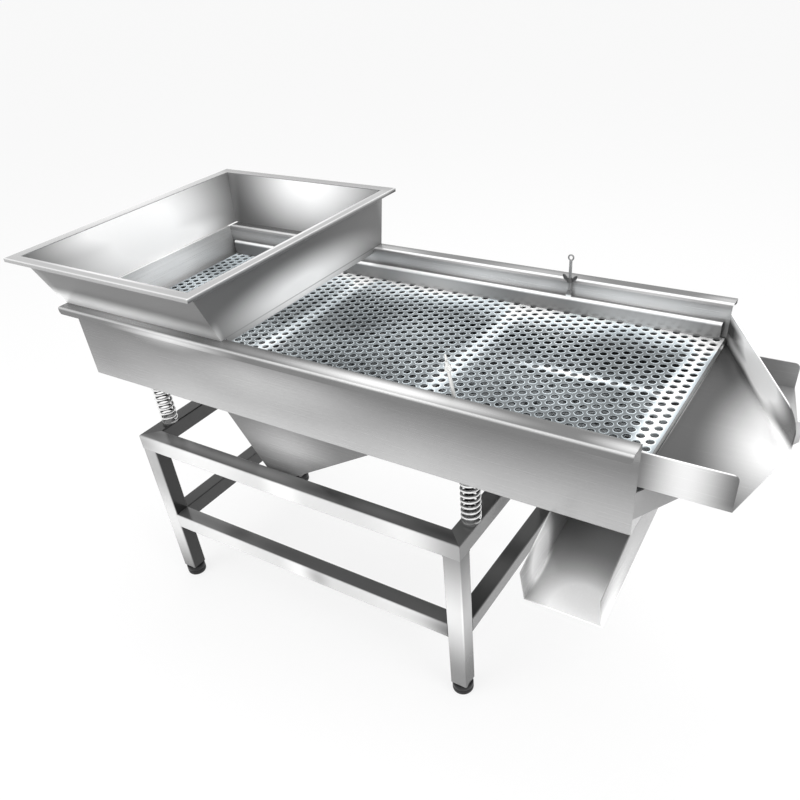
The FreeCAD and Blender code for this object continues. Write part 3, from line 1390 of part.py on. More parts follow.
def check_document():
    """Stops on any failed object or unusable sub-part."""
    failed = [item.Name for item in doc.Objects if "Invalid" in item.State or "Error" in item.State]
    if failed:
        raise RuntimeError("failed objects: " + ", ".join(failed))
    for item in PIECES:
        shape = item.Shape
        if shape.isNull() or not shape.isValid() or not shape.Solids or shape.Volume <= 0:
            raise RuntimeError("unusable shape: " + item.Label)


def write_pieces():
    """Writes each sub-part to its own file."""
    os.makedirs("parts", exist_ok=True)
    for item in PIECES:
        item.Shape.exportStep(f"parts/{item.Label}.step")


fill_sheet()
frame()
feet()
springs()
cross_beam("spring_beam_left", "0")
cross_beam("spring_beam_right", "frame_length - tube")
trough()
ledges()
decks()
hold_downs()
hopper()
end_chute("oversize_chute", "upper_floor_top", "upper_chute_wall", False)
end_chute("middle_chute", "middle_floor_top", "middle_chute_wall", True)
fines_chute()
motor_mount()
motors()
doc.recompute()
check_document()
write_pieces()
print(len(PIECES), "sub-parts written")
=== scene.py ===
import math

import bpy
import numpy as np
from mathutils import Matrix, Vector


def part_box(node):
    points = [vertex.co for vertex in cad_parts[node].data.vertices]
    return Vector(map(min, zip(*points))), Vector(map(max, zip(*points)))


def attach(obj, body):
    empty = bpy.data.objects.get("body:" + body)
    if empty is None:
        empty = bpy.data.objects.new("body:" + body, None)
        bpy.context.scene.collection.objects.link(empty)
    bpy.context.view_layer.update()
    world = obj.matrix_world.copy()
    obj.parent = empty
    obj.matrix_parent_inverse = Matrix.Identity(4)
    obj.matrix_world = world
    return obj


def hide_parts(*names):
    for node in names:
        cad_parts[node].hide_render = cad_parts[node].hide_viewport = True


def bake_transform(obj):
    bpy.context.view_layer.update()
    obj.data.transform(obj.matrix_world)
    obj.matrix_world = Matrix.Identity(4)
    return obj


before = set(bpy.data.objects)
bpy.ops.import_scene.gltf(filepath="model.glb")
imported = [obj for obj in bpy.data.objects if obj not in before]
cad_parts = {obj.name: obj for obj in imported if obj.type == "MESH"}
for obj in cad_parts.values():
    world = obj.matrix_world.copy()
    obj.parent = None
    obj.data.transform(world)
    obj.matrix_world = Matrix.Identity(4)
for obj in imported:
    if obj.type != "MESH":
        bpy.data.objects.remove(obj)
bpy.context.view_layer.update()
scene = bpy.context.scene

# The view
# The sieve is seen from the operator's side and its outlet end, from above and slightly tilted.
# The place and the angles are fitted to the straight edges of its frame and trough.
EYE = (1.0098, -1.4352, 1.7622)
YAW, PITCH, ROLL = (math.radians(a) for a in (34.708, -38.413, -5.053))
FOCAL_LENGTH = 34.25
FILM_WIDTH = 36
SHIFT_ACROSS, SHIFT_UP = -0.0263, 0.1292
FARTHEST = 200

lens = bpy.data.cameras.new("view")
lens.lens = FOCAL_LENGTH
lens.sensor_width = FILM_WIDTH
lens.shift_x = SHIFT_ACROSS
lens.shift_y = SHIFT_UP
lens.clip_end = FARTHEST
ahead = Vector((-math.sin(YAW) * math.cos(PITCH), math.cos(YAW) * math.cos(PITCH), math.sin(PITCH)))
level = Vector((math.cos(YAW), math.sin(YAW), 0))
above = level.cross(ahead)
right = level * math.cos(ROLL) + above * math.sin(ROLL)
up = above * math.cos(ROLL) - level * math.sin(ROLL)
view = bpy.data.objects.new("view", lens)
scene.collection.objects.link(view)
view.matrix_world = Matrix.Translation(EYE) @ Matrix((right, up, -ahead)).transposed().to_4x4()
scene.camera = view

# The studio
# A plain white floor and an even white room, a little dimmer overhead. Three large soft lamps light
# the paint, the rubber and the floor, which keeps the shadow; the steel mirrors the room alone.
FLOOR_HALF = 40.0
FLOOR_TONE = 0.86
FLOOR_ROUGH = 0.95
FLOOR_GLOW = 0.78
ROOM = ((0.0, 1.0), (0.55, 1.0), (0.75, 0.92), (1.0, 0.85))
ROOM_LIGHT = 0.85
LAMP_AIM = Vector((0, 0, 0.6))
LAMPS = (
    ("lamp_front", (-1.6, -3.2, 2.8), 2.6, 62),
    ("lamp_outlet", (3.4, -0.8, 2.4), 2.0, 60),
    ("lamp_top", (-0.4, 1.0, 4.0), 2.4, 60),
)


def grey(tone):
    """A tone as a colour."""
    return tone, tone, tone, 1


class Wiring:
    """The nodes of a world or a material, with short calls that add to them."""

    def __init__(self, owner):
        owner.use_nodes = True
        self.nodes, self.links = owner.node_tree.nodes, owner.node_tree.links

    def give(self, node, inputs):
        """Sets each input, by name or number, to a value, or links it to another node's output."""
        for key, value in inputs.items():
            if isinstance(value, bpy.types.NodeSocket):
                self.links.new(value, node.inputs[key])
            else:
                node.inputs[key].default_value = value

    def add(self, kind, inputs, **settings):
        """A new node of a kind, with its own settings and its inputs."""
        node = self.nodes.new("ShaderNode" + kind)
        for name, value in settings.items():
            setattr(node, name, value)
        self.give(node, inputs)
        return node

    def joined(self, operation, a, b, clamp=False):
        """a and b, each a number or an output, put together by one operation."""
        return self.add("Math", {0: a, 1: b}, operation=operation, use_clamp=clamp).outputs[0]

    def between(self, source, low, high, first=0.0, last=1.0, kind="LINEAR"):
        """Takes source from low, where it is first, to high, where it is last."""
        span = {"Value": source, "To Min": low, "To Max": high, "From Min": first, "From Max": last}
        return self.add("MapRange", span, interpolation_type=kind).outputs["Result"]

    def ramp(self, source, stops):
        """The colour that source picks from stops, each a place from 0 to 1 and a colour."""
        strip = self.add("ValToRGB", {"Fac": source})
        elements = strip.color_ramp.elements
        while len(elements) < len(stops):
            elements.new(0.5)
        for element, (at, colour) in zip(elements, stops):
            element.position = at
            element.color = colour
        return strip.outputs["Color"]

    def seen_directly(self):
        """Is Camera Ray, and with it the glossy and transmission rays added up and held to one."""
        rays = self.add("LightPath", {}).outputs
        glossy = self.joined("ADD", rays["Is Camera Ray"], rays["Is Glossy Ray"], clamp=True)
        return rays["Is Camera Ray"], self.joined("ADD", glossy, rays["Is Transmission Ray"], clamp=True)


room = bpy.data.worlds.new("white_room")
scene.world = room
wires = Wiring(room)
wires.nodes.clear()
place = wires.add("TexCoord", {})
split = wires.add("SeparateXYZ", {0: place.outputs["Generated"]})
height = wires.between(split.outputs["Z"], 0.0, 1.0, first=-1.0)
mirrored = wires.add("Background", {"Color": wires.ramp(height, [(at, grey(tone)) for at, tone in ROOM])})
plain = wires.add("Background", {"Color": grey(1)})
soft = wires.add("Background", {"Color": grey(1), "Strength": ROOM_LIGHT})
camera_ray, direct = wires.seen_directly()
lit = wires.add("MixShader", {"Fac": direct, 1: soft.outputs[0], 2: mirrored.outputs[0]})
shown = wires.add("MixShader", {"Fac": camera_ray, 1: lit.outputs[0], 2: plain.outputs[0]})
wires.add("OutputWorld", {"Surface": shown.outputs[0]})

ground = bpy.data.meshes.new("floor")
corners = [(x * FLOOR_HALF, y * FLOOR_HALF, 0) for x, y in ((-1, -1), (1, -1), (1, 1), (-1, 1))]
ground.from_pydata(corners, [], [(0, 1, 2, 3)])
floor = bpy.data.objects.new("floor", ground)
scene.collection.objects.link(floor)
paper = bpy.data.materials.new("floor_paper")
wires = Wiring(paper)
matt = wires.nodes["Principled BSDF"]
wires.give(matt, {"Base Color": grey(FLOOR_TONE), "Roughness": FLOOR_ROUGH})
glow = wires.add("Emission", {})
camera_ray, direct = wires.seen_directly()
share = wires.joined("MULTIPLY", direct, FLOOR_GLOW)
blend = wires.add("MixShader", {"Fac": share, 1: matt.outputs[0], 2: glow.outputs[0]})
wires.give(wires.nodes["Material Output"], {"Surface": blend.outputs[0]})
ground.materials.append(paper)

for name, at, side, watts in LAMPS:
    lamp = bpy.data.lights.new(name, "AREA")
    lamp.shape = "SQUARE"
    lamp.size = side
    lamp.energy = watts
    stand = bpy.data.objects.new(name, lamp)
    scene.collection.objects.link(stand)
    stand.visible_glossy = False
    turned_down = (LAMP_AIM - Vector(at)).to_track_quat("-Z", "Y").to_matrix().to_4x4()
    stand.matrix_world = Matrix.Translation(at) @ turned_down

scene.view_settings.view_transform = "Standard"

# The tube frame
# Square stainless tube, 50 mm with a 2 mm wall, belt-polished along its length. The ring's corners
# are mitred, and the legs and stretchers butt against it, welded and ground flush.
MACHINE_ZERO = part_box("leg_front_left")[0]
BRUSH_ALONG, BRUSH_ACROSS = 4, 2400
BRUSH_CONTRAST = 0.01
BRUSH_RELIEF, BRUSH_DEPTH = 0.004, 0.0002
CLOUD_SCALE = 3.2
GLOSS_LOW, GLOSS_HIGH = 0.95, 1.06
NOISE_LOW, NOISE_HIGH = 0.3, 0.7
FINE_DETAIL = 2.0
# A painted glint on one face of a tube reaches this many millimetres into it, and leaves the other faces
# alone.
FACE = 6
TUBE_CORNER = 0.004
WELD_PROUD = 0.00005
WELD_STEPS = 7
WELD_BOTTOM = TUBE_CORNER / 4
WELD_OVERLAP = TUBE_CORNER / 8


def noise(wires, place, scale, detail):
    """Noise with so many cells to the metre along x, y and z."""
    stretch = wires.add("Mapping", {"Vector": place, "Scale": scale})
    grains = {"Vector": stretch.outputs[0], "Scale": 1.0, "Detail": detail}
    return wires.add("TexNoise", grains).outputs["Fac"]


def painted_glint(wires, place, centre, reach, gain):
    """A soft bell of painted light on steel, added to its colour, in millimetres from the front left leg's
    outer
    foot corner: gain at its centre, painted shade where the gain is below nought, and nothing past its reach
    along x, y and z. A reach of 0 runs on for ever."""
    scale = [1000 / r if r else 0.0 for r in reach]
    shift = [-(c / 1000 + zero) * s for c, zero, s in zip(centre, MACHINE_ZERO, scale)]
    spot = wires.add("Mapping", {"Vector": place, "Scale": scale, "Location": shift})
    away = wires.add("VectorMath", {0: spot.outputs[0]}, operation="LENGTH")
    return wires.between(away.outputs["Value"], gain, 0.0, kind="SMOOTHSTEP")


def bumped(wires, shader, source, strength, depth):
    """A relief that follows source."""
    relief = wires.add("Bump", {"Height": source, "Strength": strength, "Distance": depth})
    wires.give(shader, {"Normal": relief.outputs[0]})


def stainless(name, grain, tone, rough, painted_glints=(), tint=(1, 1, 1), cloud=0.07, turn=None, mirror=0.5):
    """Brushed stainless steel, which mirrors by its mirror share and scatters the rest. Its tone is the plain
    tone plus its painted glints, which are painted highlights and painted shade, times fine lines, which are
    noise stretched along the grain's axis, and times clouds, which are coarse noise. turn gives (attribute,
    stops): the tone is then also multiplied along the mesh's own attribute, as painted light and shade."""
    steel = bpy.data.materials.new(name)
    wires = Wiring(steel)
    place = wires.add("TexCoord", {}).outputs["Object"]
    strokes = [BRUSH_ALONG if axis == grain else BRUSH_ACROSS for axis in "xyz"]
    brush = noise(wires, place, strokes, FINE_DETAIL)
    patch = noise(wires, place, [CLOUD_SCALE] * 3, FINE_DETAIL)
    lines = wires.between(brush, 1 - BRUSH_CONTRAST, 1 + BRUSH_CONTRAST, NOISE_LOW, NOISE_HIGH)
    clouds = wires.between(patch, 1 - cloud, 1 + cloud, NOISE_LOW, NOISE_HIGH)
    light = tone
    for centre, reach, gain in painted_glints:
        light = wires.joined("ADD", painted_glint(wires, place, centre, reach, gain), light)
    light = wires.joined("MULTIPLY", wires.joined("MULTIPLY", lines, clouds), light)
    if turn:
        attribute, stops = turn
        own = wires.add("Attribute", {}, attribute_name=attribute)
        along = wires.ramp(own.outputs["Fac"], [(at, grey(factor)) for at, factor in stops])
        light = wires.joined("MULTIPLY", light, along)
    parts = {channel: wires.joined("MULTIPLY", light, share, clamp=True)
             for channel, share in zip(("Red", "Green", "Blue"), tint)}
    shader = wires.nodes["Principled BSDF"]
    wires.give(shader, {
        "Metallic": mirror,
        "Base Color": wires.add("CombineColor", parts).outputs[0],
        "Roughness": wires.between(brush, rough * GLOSS_LOW, rough * GLOSS_HIGH, NOISE_LOW, NOISE_HIGH),
    })
    bumped(wires, shader, brush, BRUSH_RELIEF, BRUSH_DEPTH)
    return steel


def dress(material, *names):
    """Gives carried-over pieces their finish."""
    for name in names:
        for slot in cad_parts[name].material_slots:
            slot.material = material


# The frame's steel comes in copies for its sides and legs, each lighter or darker by painted light and shade,
# with painted glints on its faces.
tube_front = stainless("polished_tube_front", "x", 0.2, 0.2, [
    # painted highlights and painted shade on the rail's and the stretcher's front faces, in brighter and
    # duller stretches
    ((0, -1, 0), (0, FACE, 0), 0.55),
    ((230, -1, 0), (240, FACE, 0), 0.14),
    ((550, -1, 0), (90, FACE, 0), 0.22),
    ((935, -1, 0), (140, FACE, 0), 0.16),
    ((1110, -1, 0), (160, FACE, 0), -0.35),
    ((0, -1, 500), (110, FACE, 60), -0.3),
    ((1050, -1, 209), (240, FACE, 60), -0.35),
    ((610, -1, 209), (70, FACE, 60), -0.3),
    # painted highlights and painted shade on the rail's top
    ((330, 25, 530), (300, 30, 60), 0.26),
    ((850, 25, 530), (160, 30, 60), 0.08),
    ((660, 25, 530), (160, 30, 60), -0.08),
    ((0, 25, 530), (130, 30, 60), -0.12),
    ((1090, 25, 530), (200, 30, 60), -0.1),
    # painted shade and a painted highlight on the stretcher's top
    ((500, 25, 234), (0, 30, 40), -0.04),
    ((950, 25, 234), (600, 30, 40), 0.05),
    # painted highlights on the rail's lower edge over the legs, lightening the shaded groove there
    ((1075, 1, 477), (40, 5, 5), 0.7),
    ((25, 1, 477), (40, 5, 5), 0.5),
])
dress(tube_front, "top_rail_front", "stretcher_front")
# The outlet side: painted shade on the rail's outer face and the stretcher's top, and a painted highlight on
# the rail's lower edge over the leg.
tube_right = stainless("polished_tube_outlet_side", "y", 0.22, 0.2, [
    ((1100, 227, 500), (20, 110, 60), -0.12),
    ((1075, 0, 236), (0, 0, 9), -0.17),
    ((1099, 25, 477), (5, 40, 5), 0.5),
])
dress(tube_right, "top_rail_right", "stretcher_right")
# The feed side: a darker copy of the frame's steel, painted shade, with a painted highlight on its outer
# faces.
tube_left = stainless("polished_tube_feed_side", "y", 0.07, 0.2, [((-1, 300, 0), (FACE, 380, 0), 0.35)])
dress(tube_left, "top_rail_left", "stretcher_left")
# The back: painted highlights on the rail's front and back faces.
tube_back = stainless("polished_tube_back", "x", 0.22, 0.2, [
    ((700, 577, 500), (500, 8, 60), 0.3),
    ((450, 628, 500), (620, FACE, 60), 0.35),
])
dress(tube_back, "top_rail_back")
# The front right leg: painted highlights on its front face and its outlet-side face, brightest about
# mid-height.
leg_front_right = stainless("polished_leg_front_right", "z", 0.09, 0.2, [
    ((0, -1, 0), (0, FACE, 0), 0.18),
    ((0, -1, 290), (0, FACE, 250), 0.6),
    ((1101, 0, 290), (FACE, 0, 270), 0.42),
])
dress(leg_front_right, "leg_front_right")
# The front left leg: a darker copy, painted shade, with painted highlights on its front face and its
# feed-side face.
leg_front_left = stainless("polished_leg_front_left", "z", 0.04, 0.2, [
    ((0, -1, 520), (0, FACE, 900), 0.45),
    ((0, -1, 190), (0, FACE, 220), 0.5),
    ((-1, 0, 250), (FACE, 0, 300), 0.3),
])
dress(leg_front_left, "leg_front_left")
# The back legs and end plates: painted highlights on the front, outlet-side, back and feed-side faces.
leg_back = stainless("polished_leg_back", "z", 0.14, 0.2, [
    ((0, 576, 250), (0, FACE, 300), 0.5),
    ((1101, 0, 250), (FACE, 0, 260), 0.3),
    ((0, 628, 260), (0, FACE, 260), 0.4),
    ((-1, 0, 250), (FACE, 0, 280), 0.3),
])
dress(leg_back, "leg_back_left", "leg_back_right", "leg_end_plates")


def put(name, vertices, faces, material, body, smooth=True):
    """Makes a mesh object of points and faces, with its finish, body and material slot."""
    shape = bpy.data.meshes.new(name)
    shape.from_pydata(vertices.tolist(), [], faces.tolist() if hasattr(faces, "tolist") else faces)
    shape.polygons.foreach_set("use_smooth", np.full(len(shape.polygons), smooth))
    shape.materials.append(material)
    shape.update()
    piece = bpy.data.objects.new(name, shape)
    scene.collection.objects.link(piece)
    if body:
        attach(piece, body)
    return piece


def ground_weld(low, high, side, way):
    """Weld metal that fills the groove under the ring's rounded edge on a leg's two outer sides. In plan it
    is the leg's outline, two straight runs joined by a quarter circle, kept at two depths and carried up
    by the edge's radius. side and way are 1 or -1, and say which faces of the leg are the outer ones."""
    half = (high.x - low.x) / 2
    t = np.linspace(0, np.pi / 2, WELD_STEPS)

    def plan(radius):
        start = half - TUBE_CORNER
        reach = start + radius
        x = np.concatenate([[-half], start + radius * np.sin(t), [reach]])
        y = np.concatenate([[reach], start + radius * np.cos(t), [-half]])
        return np.stack([(low.x + high.x) / 2 + side * x, (low.y + high.y) / 2 + way * y], axis=-1)

    outer, inner = plan(TUBE_CORNER + WELD_PROUD), plan(WELD_BOTTOM)
    count = len(outer)
    low_edge, high_edge = high.z - WELD_OVERLAP, high.z + TUBE_CORNER
    loops = ((outer, high_edge), (outer, low_edge), (inner, low_edge), (inner, high_edge))
    points = np.concatenate([np.column_stack([flat, np.full(count, z)]) for flat, z in loops])
    i, k = np.meshgrid(np.arange(count - 1), np.arange(4), indexing="ij")
    m = (k + 1) % 4
    walls = np.stack([k * count + i, k * count + i + 1, m * count + i + 1, m * count + i], axis=-1)
    start_end = count * np.arange(4)
    ends = np.stack([start_end, start_end[::-1] + count - 1])
    faces = np.concatenate([walls.reshape(-1, 4), ends])
    return points, faces if side * way > 0 else faces[:, ::-1]


for corner, side, way, steel in (
    ("front_left", -1, -1, leg_front_left),
    ("front_right", 1, -1, leg_front_right),
    ("back_left", -1, 1, leg_back),
    ("back_right", 1, 1, leg_back),
):
    points, faces = ground_weld(*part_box("leg_" + corner), side, way)
    put("ground_weld_" + corner, points, faces, steel, "frame", smooth=False)

# The feet
# Moulded black rubber pads with a groove around them, each on a bright bolt screwed into the plate
# that closes its leg.
FOOT_STEPS = 48
# Shares of the foot's radius and height: the rounded lower edge, the groove, the rounded upper edge.
FOOT_PROFILE = (
    (0, 0), (0.78, 0), (0.86, 0.02), (0.93, 0.06), (0.975, 0.13), (1, 0.22),
    (1, 0.49), (0.985, 0.51), (0.94, 0.525), (0.94, 0.545), (0.985, 0.56), (1, 0.58),
    (1, 0.88), (0.985, 0.95), (0.95, 0.985), (0.9, 1), (0, 1),
)
RUBBER_DARK, RUBBER_PALE = (0.012, 0.012, 0.013, 1), (0.03, 0.03, 0.031, 1)
RUBBER_SHINE = 0.22
RUBBER_SMOOTH, RUBBER_COARSE = 0.3, 0.5
GRIT_SCALE, GRIT_DETAIL = 260.0, 4.0
GRIT_RELIEF, GRIT_DEPTH = 0.15, 0.0005


def turned(profile, centre, steps):
    """A profile of (radius, height) points turned about an upright axis: x = cx + r cos t, y = cy + r sin t,
    z = height. The first and last points lie on the axis and close the ends as single points."""
    t = np.linspace(0, 2 * np.pi, steps, endpoint=False)
    ring = profile[1:-1]
    x = centre[0] + ring[:, :1] * np.cos(t)
    y = centre[1] + ring[:, :1] * np.sin(t)
    z = np.repeat(ring[:, 1:], steps, axis=1)
    points = np.stack([x, y, z], axis=-1).reshape(-1, 3)
    ends = np.array([[centre[0], centre[1], profile[0, 1]], [centre[0], centre[1], profile[-1, 1]]])
    i, j = np.meshgrid(np.arange(len(ring) - 1), np.arange(steps), indexing="ij")
    k = (j + 1) % steps
    walls = np.stack([i * steps + j, i * steps + k, (i + 1) * steps + k, (i + 1) * steps + j], axis=-1)
    low, high = len(points), len(points) + 1
    last = (len(ring) - 1) * steps
    caps = [(low, (a + 1) % steps, a) for a in range(steps)]
    caps += [(high, last + a, last + (a + 1) % steps) for a in range(steps)]
    return np.concatenate([points, ends]), walls.reshape(-1, 4).tolist() + caps


def moulded_rubber():
    """Black rubber with fine grit, which varies its tone and gloss and gives it a slight relief."""
    rubber = bpy.data.materials.new("moulded_rubber")
    wires = Wiring(rubber)
    grit = noise(wires, wires.add("TexCoord", {}).outputs["Object"], [GRIT_SCALE] * 3, GRIT_DETAIL)
    shader = wires.nodes["Principled BSDF"]
    wires.give(shader, {
        "Specular IOR Level": RUBBER_SHINE,
        "Base Color": wires.ramp(grit, [(0.0, RUBBER_DARK), (1.0, RUBBER_PALE)]),
        "Roughness": wires.between(grit, RUBBER_SMOOTH, RUBBER_COARSE),
    })
    bumped(wires, shader, grit, GRIT_RELIEF, GRIT_DEPTH)
    return rubber


rubber = moulded_rubber()
for corner in ("front_left", "front_right", "back_left", "back_right"):
    low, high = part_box("foot_" + corner)
    centre = ((low.x + high.x) / 2, (low.y + high.y) / 2)
    profile = np.array(FOOT_PROFILE) * ((high.x - low.x) / 2, high.z - low.z) + (0, low.z)
    points, faces = turned(profile, centre, FOOT_STEPS)
    foot = put("rubber_foot_" + corner, points, faces, rubber, "frame")
    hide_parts("foot_" + corner)

bright = stainless("bright_zinc", "z", 0.62, 0.24, tint=(1.0, 1.0, 0.98), cloud=0.06)
dress(bright, "foot_bolts")

# The coil springs
# Round spring wire, 8 mm thick, coiled 7.5 turns with closed ends. Each stands on a seat on the ring
# and carries a beam under the trough; seats and their bosses are turned steel.
COIL_TURNS = 7.5
CLOSED_TURNS = 0.75
CLOSED_RISE = 0.98
WIRE = 0.004
COIL_STEPS = 300
WIRE_STEPS = 14
INNER_OPENNESS = 0.25
# Painted light and shade on the wire by its openness: painted shade below and inside, a painted highlight
# above.
WIRE_PAINTED_SHADING = ((0.0, 0.01), (0.25, 0.03), (0.38, 0.7), (0.46, 1.0), (0.95, 1.0), (1.0, 0.7))


def coil(low, high):
    """A circle of wire carried up a helix: the centre turns at the mean radius and rises by almost one wire
    a turn in the closed ends and evenly between them; the circle lies across the helix's direction. Also
    gives how open each point of the wire is to the light: from 0 to 1 as it looks from straight down to
    straight up, and a quarter of that on the coil's inner side."""
    middle = np.array([(low.x + high.x) / 2, (low.y + high.y) / 2])
    mean = (high.x - low.x) / 2 - WIRE
    turns = np.linspace(0, COIL_TURNS, COIL_STEPS)
    reach = high.z - low.z - 2 * WIRE
    closed = CLOSED_TURNS * 2 * WIRE * CLOSED_RISE
    rise = np.interp(turns, [0, CLOSED_TURNS, COIL_TURNS - CLOSED_TURNS, COIL_TURNS],
                     [0, closed, reach - closed, reach])
    angle = 2 * np.pi * turns
    path = np.stack([middle[0] + mean * np.cos(angle), middle[1] + mean * np.sin(angle),
                     low.z + WIRE + rise], axis=-1)
    along = np.gradient(path, axis=0)
    along /= np.linalg.norm(along, axis=1)[:, None]
    outward = np.stack([np.cos(angle), np.sin(angle), np.zeros_like(angle)], axis=-1)
    across = np.cross(along, outward)
    t = np.linspace(0, 2 * np.pi, WIRE_STEPS, endpoint=False)
    ring = np.cos(t)[None, :, None] * outward[:, None] + np.sin(t)[None, :, None] * across[:, None]
    points = np.concatenate([(path[:, None] + WIRE * ring).reshape(-1, 3), path[:1], path[-1:]])
    outside = np.clip(0.5 + 1.5 * np.cos(t), INNER_OPENNESS, 1)
    openness = np.concatenate([((ring[..., 2] / 2 + 0.5) * outside).reshape(-1), [0.5, 0.5]])
    i, j = np.meshgrid(np.arange(COIL_STEPS - 1), np.arange(WIRE_STEPS), indexing="ij")
    k = (j + 1) % WIRE_STEPS
    here, there = i * WIRE_STEPS, (i + 1) * WIRE_STEPS
    walls = np.stack([here + j, here + k, there + k, there + j], axis=-1).reshape(-1, 4).tolist()
    first, last = len(points) - 2, len(points) - 1
    end = (COIL_STEPS - 1) * WIRE_STEPS
    caps = [(first, (a + 1) % WIRE_STEPS, a) for a in range(WIRE_STEPS)]
    caps += [(last, end + a, end + (a + 1) % WIRE_STEPS) for a in range(WIRE_STEPS)]
    return points, [face[::-1] for face in walls + caps], openness


wire_steel = stainless("polished_spring_wire", "z", 0.95, 0.14, cloud=0.05, mirror=0.8,
                       turn=("openness", WIRE_PAINTED_SHADING))
for corner in ("front_left", "front_right", "back_left", "back_right"):
    low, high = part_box("spring_" + corner)
    points, faces, openness = coil(low, high)
    spring = put("coil_spring_" + corner, points, faces, wire_steel, None)
    spring.data.attributes.new("openness", "FLOAT", "POINT").data.foreach_set("value", openness)
    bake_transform(spring)
    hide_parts("spring_" + corner)
seat_steel = stainless("turned_seats", "x", 0.45, 0.22)
dress(seat_steel, "lower_spring_seats", "upper_spring_seats")
# The beams: a painted highlight along their front part.
beam_steel = stainless("spring_beams", "y", 0.3, 0.22, [((0, 80, 686), (0, 40, 0), 0.4)])
dress(beam_steel, "spring_beam_left", "spring_beam_right")

# The trough
# Stainless sheet, 2.5 mm, folded into a long open box with a flat rim along each side, brushed along
# its length. The feed end's plate, the outlet sill and the ledges that carry the decks are welded in.
trough_steel = stainless("trough_sheet", "x", 0.17, 0.26, [
    # painted light and shade on the front wall: brighter towards its bottom and in painted pools of light
    # under the rim, duller at the feed end by painted shade
    ((590, 0, 850), (380, 30, 90), 0.2),
    ((750, 0, 700), (0, 30, 218), 0.33),
    ((-60, 0, 760), (420, 30, 130), -0.13),
    ((250, 0, 915), (190, 12, 60), 0.55),
    ((1420, 0, 915), (140, 12, 50), 0.12),
    ((700, 0, 908), (0, 12, 22), 0.09),
    # painted light on the back wall, brighter towards its bottom
    ((750, 627, 700), (0, 30, 230), 0.36),
    # painted highlights on the front rim's top
    ((190, -26, 938), (260, 26, 10), 0.24),
    ((600, -26, 938), (200, 26, 10), 0.22),
    ((960, -26, 938), (400, 26, 10), 0.7),
    ((1500, -26, 938), (130, 26, 10), 0.55),
    # painted highlights on the front rim's lip, and on the edge above it
    ((330, -47, 925), (260, 8, 20), 0.55),
    ((0, -44, 936), (0, 5, 6), 0.45),
    # painted highlights on the back wall's inner face above the deck, and on the fold between it and its rim
    ((0, 623, 915), (0, 12, 30), 0.38),
    ((1280, 623, 905), (240, 14, 60), 0.5),
    ((850, 623, 905), (240, 14, 60), 0.4),
    ((0, 634, 939), (0, 10, 8), 1.2),
    # a painted highlight at the outlet edge, by the deck
    ((1492, 310, 850), (6, 300, 12), 0.4),
    # painted highlights on the back rim's top
    ((500, 650, 938), (200, 24, 10), 0.35),
    ((1000, 650, 938), (220, 24, 10), 0.2),
    ((1480, 650, 938), (90, 24, 10), 0.3),
])
dress(trough_steel, "trough_shell", "deck_ledges")
# The feed end's plate: a lighter copy of the sheet, painted light, with a painted pool of light across its
# middle.
end_steel = stainless("trough_end_sheet", "y", 0.45, 0.28, mirror=0.2, painted_glints=[
    ((-84, 330, 890), (20, 300, 110), 0.7),
])
dress(end_steel, "trough_end_plate")
sill_steel = stainless("outlet_sill_sheet", "y", 0.5, 0.26)
dress(sill_steel, "outlet_sill")

# The screening decks
# Punched stainless sheet, 2 mm: round holes in staggered columns, large in the upper deck and smaller
# in the lower one, each with the low rounded collar that punching raises. Flat bars welded under each
# sheet keep it straight.
UPPER_HOLE, UPPER_COLUMN, UPPER_ROW = 0.0092, 0.02375, 0.0266
LOWER_HOLE, LOWER_COLUMN, LOWER_ROW = 0.0052, 0.01984, 0.0222
LAST_COLUMN = MACHINE_ZERO.x + 1.474
FIRST_ROW = MACHINE_ZERO.y + 0.0202
COLLAR_WIDTH, COLLAR_HEIGHT = 0.0024, 0.0009
HOLE_STEPS = 12


